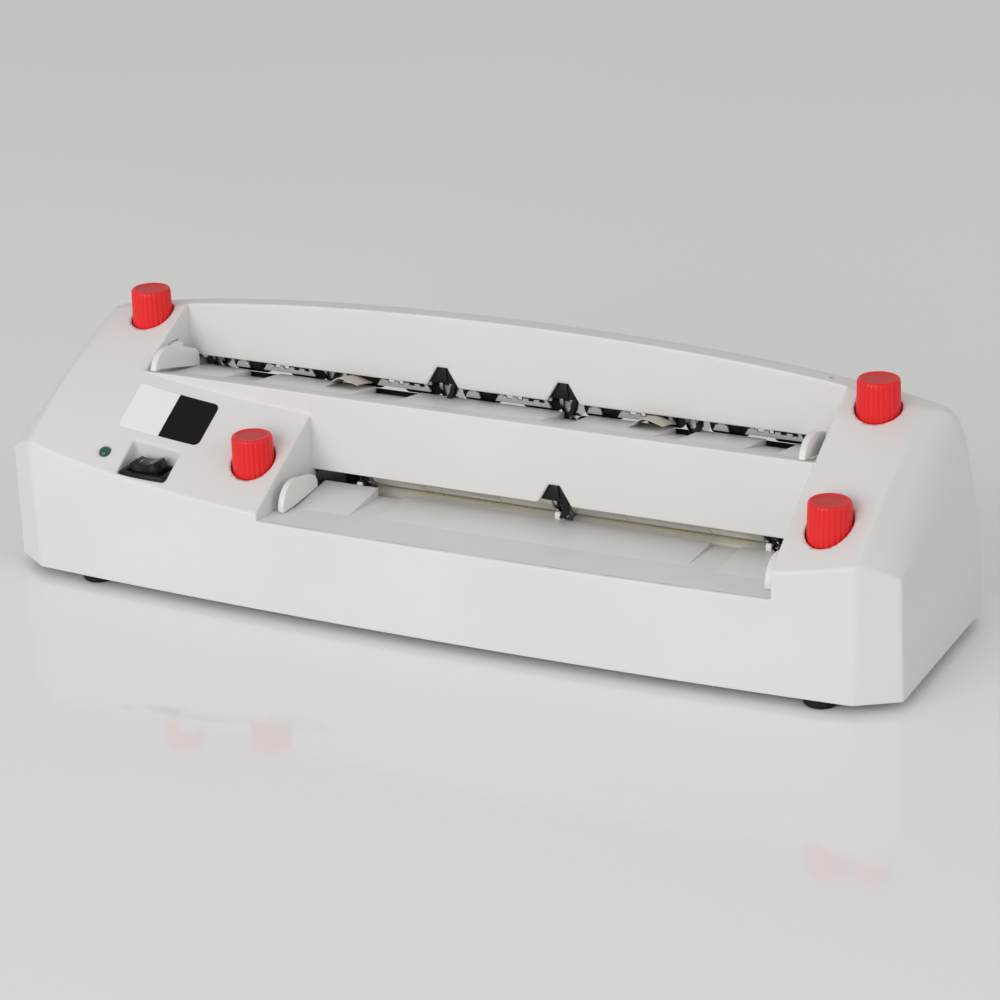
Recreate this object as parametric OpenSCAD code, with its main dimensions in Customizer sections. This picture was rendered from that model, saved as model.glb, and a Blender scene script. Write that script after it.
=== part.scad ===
// Desk machine that slits printed sheets into business cards.
// Two stepped feed bays, two pairs of rotary cutter shafts behind them,
// four knobs that move the four side guides, one motor and its gear train.
// +X along the length, +Y to the back, +Z up, origin under the middle.

/* [Body] */
// Depth of the casing, front to back
body_d = 112.8; // [112.8:0.2:116]
// Half length of the casing at the floor
half_l = 204; // [204:0.5:206]
// How far the front face bows forward in the middle
front_bow = 6.3; // [4:0.1:7]
// Height of the rubber feet under the casing
foot_h = 3.8; // [3:0.1:6]
// Wall thickness of the mouldings
wall = 2.2; // [1.8:0.1:2.4]

/* [Feed bays] */
// Half width of the upper (sheet) bay
upper_half = 154.4; // [153:0.1:155]
// Left end of the lower (strip) bay
lower_left = -72.5; // [-74:0.1:-71]
// Right end of the lower (strip) bay
lower_right = 154.2; // [153:0.1:155]
// Front face of the step wall between the bays
step_y = 49.5; // [49:0.1:50]
// Front face of the rear wall
rear_y = 86.75; // [86.5:0.05:87]
// Height of the upper bay's front lip
upper_lip = 80.2; // [79.8:0.1:80.4]
// Height of the lower bay's front lip
lower_lip = 39.9; // [39.5:0.1:40.2]

/* [Cutting] */
// Gutter between two cards
gutter = 3; // [3:0.1:3.2]
// Width of a strip cut by the upper unit
strip_w = 54; // [54:0.1:54.2]
// Length of a card cut by the lower unit
card_l = 90; // [90:0.1:90.2]
// Radius of a cutter disc
disc_r = 9.2; // [9.1:0.05:9.2]
// Distance between the two shafts of a pair
pair_d = 17.6; // [17.6:0.1:17.6]
// Radius of the cutter shafts
shaft_r = 4; // [3.8:0.05:4]
// Tooth module of the drive gears
mod = 0.8; // [0.8:0.1:0.8]

/* [Controls] */
// Radius of a knob at its base
knob_r = 8.9; // [8.6:0.1:9]
// Height of a knob
knob_h = 17.6; // [17:0.1:17.8]
// Flutes round a knob
knob_flutes = 24; // [18:1:28]

/* [Hidden] */

// --- outline functions of the casing (front at y = 0, casing floor at z = 0) ---
function yf(x) = front_bow * pow(x / 190, 2);
// front edge of the sloping decks, higher towards the ends
function hx(x) = 41.2 + 11.1 * pow(x / 190, 2) + 5.3 * pow(x / 190, 4);
// arched top edge of the rear wall
function arch(x) = 108.2 - 2.9e-4 * x * x - 2.4e-9 * pow(x, 4);
function slope(x) = lookup(abs(x), [[0, 0.58], [72.5, 0.60], [154.4, 0.68], [190, 0.72]]);
function sag(x) = abs(x) < 150 ? lookup(abs(x), [[0, 0.0007], [72.5, 0.0007], [150, 0.001]])
  : (slope(x) * (rear_y - yf(x)) - (arch(x) - hx(x))) / pow(rear_y - yf(x), 2);
// height of the sloping deck
function deck(x, y) = hx(x) + slope(x) * (y - yf(x)) - sag(x) * pow(y - yf(x), 2);
// crease between the end wall and the facet beside the deck
function side_z(y) = 49.8 + 0.286 * (y - 14.5);
// back of the casing in side view, at its ends and in the middle
END_Y = [[0, 112.8], [12, 112.5], [23, 112], [35, 110.5], [48, 107.2], [61, 101.9], [74, 96], [92, 91], [120, 91]];
MID_Y = [[0, 112.8], [0.6, 112.8], [0.75, 112.6], [0.88, 110.2], [0.97, 99], [1, 91]];
FR = [1, 0.97, 0.88, 0.75, 0.6, 0.4, 0.2, 0];
function wgt(x) = pow(min(abs(x), 203) / 203, 20);
function back_y(x, h, f) = (1 - wgt(x)) * lookup(f, MID_Y) + wgt(x) * lookup(h * f, END_Y);

// side-view section of the casing at station x, inset by t
DY = [10, 20, 33, 49.5, 66, 86.75];
SY = [22, 32, 43, 58, 74, 90];
function facet_z(i) = 0.4 * deck(188, DY[i]) + 0.6 * side_z(SY[i]) + 0.17 * (SY[i] - 14.5);
function section(x, t) =
  abs(x) < 188.1 ? concat(
      [[yf(x) + t, t > 0 ? -2 : 0], [yf(x) + 0.4 + t, hx(x) - t * 0.7]],
      [for (y = DY) [y + t * 0.2, (abs(x) < 140 && y > 80 ? arch(x) : (abs(x) < 140 && y > 60) ? 82 : deck(x, y)) - t * 1.2]],
      [for (f = FR) [back_y(x, arch(x), f) - t, f == 0 ? (t > 0 ? -2 : 0) : (arch(x)) * f - t * (f > 0.9 ? 1.2 : 0)]])
  : abs(x) < 200 ? concat(
      [[12.2 + t, t > 0 ? -2 : 0], [11.2 + t, 53.4 - t * 0.7]],
      [for (i = [0:5]) [(DY[i] * 0.4 + SY[i] * 0.6) + t * 0.2, facet_z(i) - t * 1.4]],
      [for (f = FR) [back_y(197, 92, f) - t, f == 0 ? (t > 0 ? -2 : 0) : 92 * f - t * (f > 0.9 ? 1.4 : 0)]])
  : concat(
      [[16.5 + t, t > 0 ? -2 : 0], [14.5 + t, 49.8 - t]],
      [for (i = [0:5]) [SY[i] + t * 0.2, side_z(SY[i]) - t * 1.4]],
      [for (f = FR) [back_y(203, 72.5, f) - t, f == 0 ? (t > 0 ? -2 : 0) : 72.5 * f - t * (f > 0.9 ? 1.4 : 0)]]);
function end_x(z) = half_l - 0.019 * z;

XS = [0, 36, 72.5, 110, 139.9, 154.4, 171, 188];
function stations(t) = concat([-204], [-197], [for (i = [7:-1:1]) -XS[i]], [for (i = [0:7]) XS[i]], [197], [204]);
// solid of the casing's outer form, inset by t
module casing(t) {
  st = stations(t);
  m = 16;
  n = len(st);
  pts = [for (s = st) let (q = section(s, t), x0 = abs(s) > 200 ? 0 : (t > 0 ? s * (1 - t / 190) : s))
      for (p = q) [abs(s) > 200 ? sign(s) * (end_x(max(0, p[1])) - t) : x0, p[0], p[1]]];
  side = [for (i = [0:n - 2]) for (j = [0:m - 1]) let (a = i * m + j, b = i * m + (j + 1) % m, c = a + m, d = b + m)
      each [[a, b, d], [a, d, c]]];
  polyhedron(points = pts, faces = concat([[for (j = [m - 1:-1:0]) j]], side, [[for (j = [0:m - 1]) (n - 1) * m + j]]), convexity = 12);
}
module place() translate([0, -body_d / 2, foot_h]) children();
// prism with a side-view outline, from x0 to x1
module yz(x0, x1, pts) translate([x0, 0, 0]) rotate([90, 0, 90]) linear_extrude(x1 - x0) polygon(pts);
module xrod(x0, x1, y, z, r, fn = 40) translate([x0, y, z]) rotate([0, 90, 0]) cylinder(h = x1 - x0, r = r, $fn = fn);
module box(a, b) translate(a) cube([b[0] - a[0], b[1] - a[1], b[2] - a[2]]);

// --- feed bays ---
slot_top_u = 76.4;
slot_top_l = 46.1;
function ufloor(y) = upper_lip - 0.29 * (y - step_y);
function lfloor(y) = lower_lip - 0.045 * (y - 2);
module upper_bay(g) yz(-upper_half - g, upper_half + g,
  [[step_y, 130], [step_y, ufloor(step_y) + g * 0.3 + 0.001], [rear_y + g, ufloor(rear_y) + g * 0.3], [rear_y + g, slot_top_u], [rear_y + g + 0.6, 130]]);
module lower_bay(g) yz(lower_left - g, lower_right + g,
  [[-12, 130], [-12, lower_lip + g * 0.3], [2, lower_lip + g * 0.3], [step_y + g, lfloor(step_y) + g * 0.3], [step_y + g, 130]]);

// --- cutting units: shaft centres in the side view ---
UP_T = [99.1, 76.5];
UP_B = [99.1 - pair_d * 0.242, 76.5 - pair_d * 0.970];
LO_T = [62.8, 47.2];
LO_B = [62.8 - pair_d * 0.05, 47.2 - pair_d * 0.9987];
MOT = [72, 28];
COMP = [78.6, 52.7];
u_gut = [for (k = [-2.5:1:2.5]) k * (strip_w + gutter)];
l_mid = 42;
l_gut = [for (k = [-1:1:1]) l_mid + k * (card_l + gutter)];

// --- gears ---
function inv(a) = tan(a) * 180 / PI - a;
function half_ang(n, m, r, bl) = let (rp = n * m / 2, rb = rp * cos(20), q = max(r, rb + 0.001))
  90 / n - bl / rp * 28.65 + inv(20) - inv(acos(rb / q));
module gear2d(n, m, rot, bl = 0.16) {
  rp = n * m / 2;
  ra = rp + m * 0.92;
  rf = rp - m * 1.2;
  polygon([for (i = [0:n - 1]) let (c = rot + i * 360 / n, hr = half_ang(n, m, rf, bl), hp = half_ang(n, m, rp, bl), ha = half_ang(n, m, ra, bl))
    each [rf * [cos(c - hr), sin(c - hr)], rp * [cos(c - hp), sin(c - hp)], ra * [cos(c - ha), sin(c - ha)],
          ra * [cos(c + ha), sin(c + ha)], rp * [cos(c + hp), sin(c + hp)], rf * [cos(c + hr), sin(c + hr)]]]);
}
module xgear(x0, x1, p, n, rot, m = mod) translate([x0, p[0], p[1]]) rotate([90, 0, 90]) linear_extrude(x1 - x0) gear2d(n, m, rot);
function dir(a, b) = atan2(b[1] - a[1], b[0] - a[0]);
function mesh(rot, ni, nj, phi) = phi + 180 + 180 / nj - (rot - phi) * ni / nj;
// third point of a triangle from two centres and two centre distances
function apex(a, b, ra, rb, s) = let (d = norm(b - a), u = (b - a) / d, k = (ra * ra - rb * rb + d * d) / (2 * d), h = sqrt(ra * ra - k * k))
  a + u * k + s * h * [-u[1], u[0]];
IDL = apex(UP_B, LO_B, 28 * mod, 28 * mod, 1);
CMP = apex(MOT, UP_B, 32 * mod, 22 * mod, 1);
r_ub = 0;
r_ut = mesh(r_ub, 22, 22, dir(UP_B, UP_T));
r_id = mesh(r_ub, 22, 34, dir(UP_B, IDL));
r_lb = mesh(r_id, 34, 22, dir(IDL, LO_B));
r_lt = mesh(r_lb, 22, 22, dir(LO_B, LO_T));
r_ud = 0;
r_c1 = mesh(r_ud, 26, 18, dir(UP_B, CMP));
r_c2 = 0;
r_mo = mesh(r_c2, 50, 14, dir(CMP, MOT));

// --- knobs: [x, y, knob base z, +1 when the rack runs behind the pinion, pinion z] ---
K_FL = [-86.3, 24.2, 50.9, 1, 43.9];
K_FR = [171.0, 23.8, 58.6, 1, 43.9];
K_RL = [-168.8, 80.3, 89.6, -1, 82.6];
K_RR = [169.8, 80.3, 89.6, -1, 82.6];
KN = [K_FL, K_FR, K_RL, K_RR];
function well_floor(k) = k[2] - 0.6;
pin_n = 16;
pin_m = 0.5;
gear_t = 3.2;
function pin_z(k) = k[4];

module bosses() {
  for (p = [[-190, 34], [-190, 86], [190, 34], [190, 86], [-40, 7.4], [110, 8.6]])
    translate([p[0], p[1], 3]) difference() {
      union() {
        cylinder(h = abs(p[0]) > 150 ? 90 : 30, r = 4, $fn = 32);
        if (abs(p[0]) < 150) translate([-1, -7, 0]) cube([2, 7, 30]);
      }
      translate([0, 0, -1]) cylinder(h = 14, r = 1.35, $fn = 24);
    }
}

module top_cover() color([0.85, 0.85, 0.84]) place() difference() {
  union() {
    difference() {
      union() {
        casing(0);
        box([-upper_half - 1, step_y, 20], [upper_half + 1, rear_y + 1, upper_lip]);
      }
      difference() {
        union() {
          casing(wall);
          box([-upper_half, step_y + wall, 24], [upper_half, rear_y + wall, upper_lip + 4]);
        }
        upper_bay(wall);
        lower_bay(wall);
      }
      upper_bay(0);
      lower_bay(0);
    }
    intersection() {
      casing(0.5);
      union() {
        for (k = KN) translate([k[0], k[1], well_floor(k) - 1.8]) cylinder(h = 40, r = knob_r + 2.4, $fn = 48);
        bosses();
        box([-145.4, 6, 46.8], [-117.6, 22.6, 60]);
      }
    }
  }
  // wells of the knobs, and the spindle bores through their floors
  for (k = KN) {
    translate([k[0], k[1], well_floor(k)]) cylinder(h = 60, r = knob_r + 0.65, $fn = 64);
    translate([k[0], k[1], well_floor(k) - 6]) cylinder(h = 12, r = 2.55, $fn = 32);
  }
  // sunk pocket and panel cut-out of the switch
  box([-142.9, 5.3, 48.6], [-119.6, 20.4, 75]);
  box([-141.6, 6.6, 40], [-120.9, 19.4, 50]);
  // lamp hole, square to the deck
  translate([-152.7, 12.2, deck(-152.7, 12.2)]) rotate([32, 0, 0]) translate([0, 0, -8]) cylinder(h = 16, r = 2.55, $fn = 32);
  // throats under the two walls, where the paper goes in
  box([-upper_half + 0.01, rear_y - 1, 62], [upper_half - 0.01, rear_y + 6, slot_top_u]);
  box([lower_left + 0.01, step_y - 1, 30], [lower_right - 0.01, step_y + 4, slot_top_l]);
  // trapezoid notches over the middle blades
  for (g = [u_gut[2], u_gut[3]]) notch(g, rear_y, slot_top_u);
  notch(l_mid - 0.6, step_y, slot_top_l);
  // slits for the arms of the side guides
  for (k = KN) let (y0 = k[1] + k[3] * 7) box([min(k[0], 0) < 0 ? -upper_half - 4 : upper_half - 2, y0 - 3.7, pin_z(k) - 0.4],
      [min(k[0], 0) < 0 ? -upper_half + 2 : upper_half + 4, y0 + 3.7, pin_z(k) + gear_t + 0.4]);
  box([lower_left - 4, K_FL[1] + 3.3, pin_z(K_FL) - 0.4], [lower_left + 2, K_FL[1] + 10.7, pin_z(K_FL) + gear_t + 0.4]);
  // card outlets in the back
  box([-149, 104, 56], [149, 118, 68]);
  box([-62, 104, 24.2], [149, 118, 37.5]);
  // power inlet window
  box([-150.2, 104, 16], [-129.8, 118, 29]);
  // cooling slots in the left end
  for (i = [0:7]) box([-210, 56 + i * 5, 14], [-190, 58 + i * 5, 36]);
}
module notch(g, y, z) translate([g, y + 8, z - 0.01]) rotate([90, 0, 0]) linear_extrude(16)
  polygon([[-7.6, -0.5], [7.6, -0.5], [7.6, 0], [2.5, 8.5], [-2.5, 8.5], [-7.6, 0]]);

module plan(t) polygon(concat(
  [for (i = [-10:10]) let (x = i * (188 - t) / 10) [x, yf(x) + t]],
  [[half_l - t, 17.2 + t * 0.8], [half_l - t, body_d - t], [-half_l + t, body_d - t], [-half_l + t, 17.2 + t * 0.8]]));

module bottom_pan() color([0.80, 0.80, 0.79]) place() difference() {
  union() {
    translate([0, 0, 0.2]) linear_extrude(2.2) plan(wall + 0.3);
    for (p = [[-190, 34], [-190, 86], [190, 34], [190, 86], [-40, 7.4], [110, 8.6]]) translate([p[0], p[1], 0.2]) cylinder(h = 2.6, r = 3.8, $fn = 32);
    for (x = [-157, -75, 161.6]) for (y = [60, 92]) box([x - 2, y - 5, 2], [x + 2, y + 5, 7]);
  }
  for (p = [[-190, 34], [-190, 86], [190, 34], [190, 86], [-40, 7.4], [110, 8.6]]) {
    translate([p[0], p[1], -1]) cylinder(h = 8, r = 1.7, $fn = 24);
    translate([p[0], p[1], -1]) cylinder(h = 2.2, r = 3.2, $fn = 32);
  }
  for (i = [0:8]) box([-148 + i * 6, 60, -1], [-145.5 + i * 6, 84, 5]);
  for (f = FEET) translate([f[0], f[1], -1]) cylinder(h = 5, r = 2, $fn = 24);
  for (y = [60, 92]) for (x = [-159.2, -77, 159.2]) box([x - 1.1, y - 6, 2.6], [x + 1.1, y + 6, 8]);
}
FEET = [[-161.5, 13.2], [172, 12.6], [-166, 98], [173, 98]];
module pan_screws() color([0.55, 0.56, 0.58]) place()
  for (p = [[-190, 34], [-190, 86], [190, 34], [190, 86], [-40, 7.4], [110, 8.6]]) translate([p[0], p[1], 0.1]) difference() {
    union() {
      translate([0, 0, -0.5]) cylinder(h = 1.5, r = 3, $fn = 32);
      cylinder(h = 10, r = 1.33, $fn = 24);
    }
    translate([-2, -0.3, -1]) cube([4, 0.6, 1.2]);
    translate([-0.3, -2, -1]) cube([0.6, 4, 1.2]);
  }
module rubber_feet() color([0.07, 0.07, 0.07]) place() for (f = FEET) translate([f[0], f[1], 0]) {
  rotate_extrude($fn = 48) polygon([[0, 0.19], [5, 0.19], [5, -0.05], [7.2, -0.05], [7.2, -2.6], [6.4, -foot_h], [0, -foot_h]]);
  translate([0, 0, 0.1]) cylinder(h = 3.3, r = 1.97, $fn = 24);
}

// wedge plates that rise from a tray's floor towards the throat
module wedge(x0, x1, ya, za, yb, zb, d) yz(x0, x1, [[ya, za], [yb, zb], [yb, zb - d], [ya, za - 1]]);
module upper_feed_tray() color([0.80, 0.80, 0.79]) place() difference() {
  union() {
    yz(-upper_half + 0.3, upper_half - 0.3, [[step_y + wall + 0.2, ufloor(step_y + wall + 0.2)], [87.6, ufloor(87.6)], [87.6, ufloor(87.6) - 2.2], [step_y + wall + 0.2, ufloor(step_y) - 3]]);
    for (w = [[-upper_half + 5.5, -125], [-110, -62], [-40, 28], [40, 79], [90, 119], [133, upper_half - 5.5]])
      wedge(w[0], w[1], 64, ufloor(64), 88.2, 70.6, 2.6);
    for (x = [-150, -30, 148]) box([x - 2, 54, 70], [x + 2, 62, 76.4]);
  }
}
module lower_feed_tray() color([0.80, 0.80, 0.79]) place() {
  intersection() {
    translate([0, 0, -1]) linear_extrude(60) plan(wall + 0.85);
    yz(lower_left + 0.3, lower_right - 0.3, [[0, lower_lip], [2, lower_lip], [50.5, lfloor(50.5)], [50.5, lfloor(50.5) - 2.2], [0, lower_lip - 2.3]]);
  }
  wedge(lower_left + 5.9, -41, 22.3, lfloor(22.3), 49.2, 42, 4.6);
  wedge(-29.2, 110.4, 24, lfloor(24), 51.0, 39.6, 2.6);
  wedge(123.5, lower_right - 5, 22, lfloor(22), 51.0, 39.6, 2.6);
  for (x = [-66, 40, 148]) box([x - 2, 9, 30], [x + 2, 15, 38.4]);
}

// label lies on the left deck
module label_plate() color([0.93, 0.93, 0.93]) place() {
  nx = 4;
  ny = 3;
  top = [for (j = [0:ny]) for (i = [0:nx]) let (x = -152.8 + 39.3 * i / nx, y = 24.3 + 20 * j / ny) [x, y, deck(x, y) + 0.55]];
  bot = [for (p = top) [p[0], p[1], p[2] - 0.4]];
  m = (nx + 1) * (ny + 1);
  polyhedron(points = concat(top, bot), faces = concat(
    [for (j = [0:ny - 1]) for (i = [0:nx - 1]) let (a = j * (nx + 1) + i) each [[a + nx + 1, a + 1, a], [a + nx + 1, a + nx + 2, a + 1]]],
    [for (j = [0:ny - 1]) for (i = [0:nx - 1]) let (a = m + j * (nx + 1) + i) each [[a, a + 1, a + nx + 1], [a + 1, a + nx + 2, a + nx + 1]]],
    [for (i = [0:nx - 1]) each [[i, i + 1, m + i + 1], [i, m + i + 1, m + i]]],
    [for (i = [0:nx - 1]) let (a = ny * (nx + 1) + i) each [[a + 1, a, m + a], [a + 1, m + a, m + a + 1]]],
    [for (j = [0:ny - 1]) let (a = j * (nx + 1)) each [[a + nx + 1, a, m + a], [a + nx + 1, m + a, m + a + nx + 1]]],
    [for (j = [0:ny - 1]) let (a = j * (nx + 1) + nx) each [[a, a + nx + 1, m + a + nx + 1], [a, m + a + nx + 1, m + a]]]));
}
module at_lamp() translate([-152.7, 12.2, deck(-152.7, 12.2)]) rotate([32, 0, 0]) children();
module power_lamp() color([0.05, 0.42, 0.22]) place() at_lamp() rotate_extrude($fn = 36)
  polygon([[0, -6], [2.45, -6], [2.45, 0.3], [2.1, 1.0], [1.2, 1.5], [0, 1.65]]);
module lamp_holder() color([0.12, 0.12, 0.12]) place() at_lamp() difference() {
  translate([0, 0, -9]) cylinder(h = 5, r = 3.8, $fn = 36);
  translate([0, 0, -6.1]) cylinder(h = 3, r = 2.6, $fn = 36);
}
module switch_body() color([0.08, 0.08, 0.08]) place() difference() {
  union() {
    box([-142.6, 5.6, 48.65], [-119.9, 20.1, 50.9]);
    box([-141.5, 6.7, 36], [-121, 19.3, 49]);
    for (x = [-138, -132, -126]) box([x - 0.4, 10.6, 29], [x + 0.4, 15.4, 36.5]);
  }
  box([-139.6, 8.1, 40], [-122.9, 17.6, 52]);
}
// rocker pivots about an axis across its long side
module switch_rocker() color([0.1, 0.1, 0.1]) place() translate([-131.2, 0, 47.2]) rotate([0, -4, 0])
  translate([0, 8.4, 0]) {
    rotate([90, 0, 0]) mirror([0, 0, 1]) linear_extrude(8.9) polygon([[-7.1, 0], [-6.3, 6.6], [-5.4, 7.7], [0, 6.6], [5.4, 7.7], [6.3, 6.6], [7.1, 0], [3, -3.4], [-3, -3.4]]);
    translate([0, -0.25, 0]) rotate([-90, 0, 0]) cylinder(h = 9.4, r = 1.2, $fn = 24);
  }

// --- frame ---
module bores(x0, x1, ps, r) for (p = ps) xrod(x0, x1, p[0], p[1], r);
module left_frame() color([0.66, 0.67, 0.69]) place() difference() {
  yz(-160.2, -158.2, [[54, 2.6], [105.5, 2.6], [105.5, 80], [102.5, 85.5], [95, 85.5], [90, 78], [86, 76], [56, 68]]);
  bores(-162, -157, [UP_T, UP_B], 6);
  xrod(-162, -157, CMP[0], CMP[1], 2.5);
  xrod(-162, -157, MOT[0], MOT[1], 7.05);
  for (s = [-1, 1]) xrod(-162, -157, MOT[0] + s * 14, MOT[1], 1.6, 24);
  bores(-162, -157, BARS, 2.5);
}
BARS = [[100, 12], [58, 10], [74.5, 64]];
module centre_frame() color([0.66, 0.67, 0.69]) place() difference() {
  yz(-78, -76, [[53, 2.6], [95, 2.6], [95, 8], [82, 30], [82, 68], [56, 68], [54, 40.5]]);
  bores(-80, -75, [LO_T, LO_B], 6);
  bores(-80, -75, [BARS[1], BARS[2]], 3.05);
}
module right_frame() color([0.66, 0.67, 0.69]) place() difference() {
  yz(158.2, 160.2, [[52.5, 2.6], [105.5, 2.6], [105.5, 80], [102.5, 85.5], [95, 85.5], [90, 78], [86, 76], [56, 68]]);
  bores(157, 162, [UP_T, UP_B, LO_T, LO_B], 6);
  xrod(157, 162, IDL[0], IDL[1], 2.5);
  bores(157, 162, BARS, 2.5);
}
module tie_bars() color([0.70, 0.71, 0.72]) place() for (b = BARS) {
  xrod(-158.2, 158.2, b[0], b[1], 3);
  xrod(-161.5, 161.5, b[0], b[1], 2.5);
}
module bush(x0, x1, f0, f1, p) difference() {
  union() {
    xrod(x0, x1, p[0], p[1], 6);
    xrod(f0, f1, p[0], p[1], 7);
  }
  xrod(x0 - 2, x1 + 2, p[0], p[1], shaft_r + 0.05);
}
module shaft_bushes() color([0.72, 0.55, 0.30]) place() {
  for (p = [UP_T, UP_B]) bush(-160.2, -157.2, -158.2, -157.2, p);
  for (p = [UP_T, UP_B, LO_T, LO_B]) bush(157.2, 160.2, 157.2, 158.2, p);
  for (p = [LO_T, LO_B]) bush(-78, -75, -76, -75, p);
}

// --- shafts, discs, rollers ---
module shaft(x0, x1, c0, c1, p) {
  xrod(x0, x1, p[0], p[1], shaft_r, 48);
  // collars that keep the shaft between its bushes
  for (c = [c0, c1]) xrod(c - 1.5, c + 1.5, p[0], p[1], 5.6, 40);
}
module ring(x0, x1, p, r, ri = shaft_r) difference() {
  xrod(x0, x1, p[0], p[1], r, 64);
  xrod(x0 - 1, x1 + 1, p[0], p[1], ri, 48);
}
// two discs that shear the edges of one gutter
module pair_discs(g, p) for (s = [-1, 1]) ring(g + s * (gutter / 2 + 0.8) - 0.8, g + s * (gutter / 2 + 0.8) + 0.8, p, disc_r);
module gutter_disc(g, p) ring(g - gutter / 2 + 0.3, g + gutter / 2 - 0.3, p, disc_r);
roll_r = pair_d / 2 - 0.2;

module upper_top_shaft() color([0.74, 0.75, 0.77]) place() shaft(-163, 168.6, -155.3, 155.3, UP_T);
module upper_top_discs() color([0.80, 0.81, 0.83]) place() for (g = u_gut) pair_discs(g, UP_T);
module upper_top_rollers() color([0.10, 0.10, 0.10]) place() for (i = [0:4]) for (s = [-1, 1])
  let (c = (u_gut[i] + u_gut[i + 1]) / 2) ring(c + s * 14 - 7, c + s * 14 + 7, UP_T, roll_r);
module upper_bottom_shaft() color([0.74, 0.75, 0.77]) place() shaft(-169.6, 176.4, -155.3, 155.3, UP_B);
module upper_bottom_discs() color([0.80, 0.81, 0.83]) place() for (g = u_gut) gutter_disc(g, UP_B);
module upper_bottom_rollers() color([0.10, 0.10, 0.10]) place() for (i = [0:4])
  ring(u_gut[i] + 3.4, u_gut[i + 1] - 3.4, UP_B, roll_r);
module lower_top_shaft() color([0.74, 0.75, 0.77]) place() shaft(-81, 168.6, -73.1, 155.3, LO_T);
module lower_top_discs() color([0.80, 0.81, 0.83]) place() for (g = l_gut) pair_discs(g, LO_T);
module lower_top_rollers() color([0.72, 0.72, 0.68]) place() for (i = [0:1])
  ring(l_gut[i] + 4.2, l_gut[i + 1] - 4.2, LO_T, roll_r);
module lower_bottom_shaft() color([0.74, 0.75, 0.77]) place() shaft(-81, 176.4, -73.1, 155.3, LO_B);
module lower_bottom_discs() color([0.80, 0.81, 0.83]) place() for (g = l_gut) gutter_disc(g, LO_B);
module lower_bottom_rollers() color([0.72, 0.72, 0.68]) place() for (i = [0:1])
  ring(l_gut[i] + 3.4, l_gut[i + 1] - 3.4, LO_B, roll_r);

module pierced_gear(x0, x1, p, n, rot, bore) difference() {
  xgear(x0, x1, p, n, rot);
  xrod(x0 - 1, x1 + 1, p[0], p[1], bore, 48);
}
module upper_top_gear() color([0.90, 0.88, 0.80]) place() pierced_gear(162.5, 168, UP_T, 22, r_ut, shaft_r);
module upper_bottom_gear() color([0.55, 0.56, 0.58]) place() pierced_gear(162.5, 175.5, UP_B, 22, r_ub, shaft_r);
module upper_drive_gear() color([0.90, 0.88, 0.80]) place() pierced_gear(-169, -163.5, UP_B, 26, r_ud, shaft_r);
module lower_top_gear() color([0.90, 0.88, 0.80]) place() pierced_gear(162.5, 168, LO_T, 22, r_lt, shaft_r);
module lower_bottom_gear() color([0.55, 0.56, 0.58]) place() pierced_gear(162.5, 175.5, LO_B, 22, r_lb, shaft_r);
module transfer_gear() color([0.90, 0.88, 0.80]) place() pierced_gear(169.5, 175, IDL, 34, r_id, 2.55);
module compound_gear() color([0.90, 0.88, 0.80]) place() difference() {
  union() {
    xgear(-169, -163.5, CMP, 18, r_c1);
    xrod(-170.6, -168.5, CMP[0], CMP[1], 6);
    xgear(-176, -170.6, CMP, 50, r_c2);
  }
  xrod(-178, -162, CMP[0], CMP[1], 2.55);
}
module gear_axles() color([0.74, 0.75, 0.77]) place() {
  xrod(-178, -158.2, CMP[0], CMP[1], 2.5);
  xrod(-163.2, -160.2, CMP[0], CMP[1], 4);
  xrod(-178.2, -176.3, CMP[0], CMP[1], 3.8);
  xrod(158.2, 177.2, IDL[0], IDL[1], 2.5);
  xrod(160.2, 169.2, IDL[0], IDL[1], 4);
  xrod(175.3, 177, IDL[0], IDL[1], 3.8);
}
module motor_body() color([0.62, 0.63, 0.65]) place() difference() {
  union() {
    xrod(-155.9, -102, MOT[0], MOT[1], 17, 64);
    xrod(-157.6, -155.9, MOT[0], MOT[1], 7, 40);
    xrod(-102, -98.5, MOT[0], MOT[1], 6, 40);
    for (s = [-1, 1]) box([-101, MOT[0] + s * 10 - 1.5, MOT[1] - 0.4], [-95, MOT[0] + s * 10 + 1.5, MOT[1] + 0.4]);
  }
  xrod(-160, -130, MOT[0], MOT[1], 1.6, 24);
}
module motor_bracket() color([0.66, 0.67, 0.69]) place() difference() {
  union() {
    box([-158.2, 53.5, 9], [-156.2, 90.5, 46.5]);
    box([-158.2, 53.5, 7.2], [-140, 90.5, 9.2]);
  }
  xrod(-162, -150, MOT[0], MOT[1], 7.05);
  for (s = [-1, 1]) xrod(-162, -150, MOT[0] + s * 14, MOT[1], 1.6, 24);
  for (b = BARS) xrod(-162, -130, b[0], b[1], 3.3);
}
module motor_spindle() color([0.72, 0.62, 0.36]) place() {
  xrod(-177, -131, MOT[0], MOT[1], 1.55, 24);
  difference() {
    xgear(-176.4, -170.2, MOT, 14, r_mo);
    xrod(-178, -168, MOT[0], MOT[1], 1.5, 24);
  }
}

// --- paper guides seen through the throats ---
module guide_comb() color([0.86, 0.86, 0.84]) place() {
  for (i = [0:4]) difference() {
    translate([u_gut[i], 90.05, 0]) rotate([90, 0, 0]) linear_extrude(1.05) union() {
      polygon([[9.5, 71.9], [17, 71.9], [16, 74.9], [11, 74.9]]);
      polygon([[23.5, 71.7], [50.5, 71.7], [48.5, 75], [25.5, 75]]);
      polygon([[9.5, 75.6], [50.5, 75.6], [50.5, 77], [9.5, 77]]);
      polygon([[12, 74.8], [15, 74.8], [15, 75.7], [12, 75.7]]);
      for (x = [26.2, 46.8]) polygon([[x, 74.9], [x + 1.6, 74.9], [x + 1.6, 75.7], [x, 75.7]]);
    }
    for (j = [0:3]) box([u_gut[i] + 29.2 + j * 5.1, 87, 73.8], [u_gut[i] + 32 + j * 5.1, 90, 75.3]);
  }
}
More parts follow.
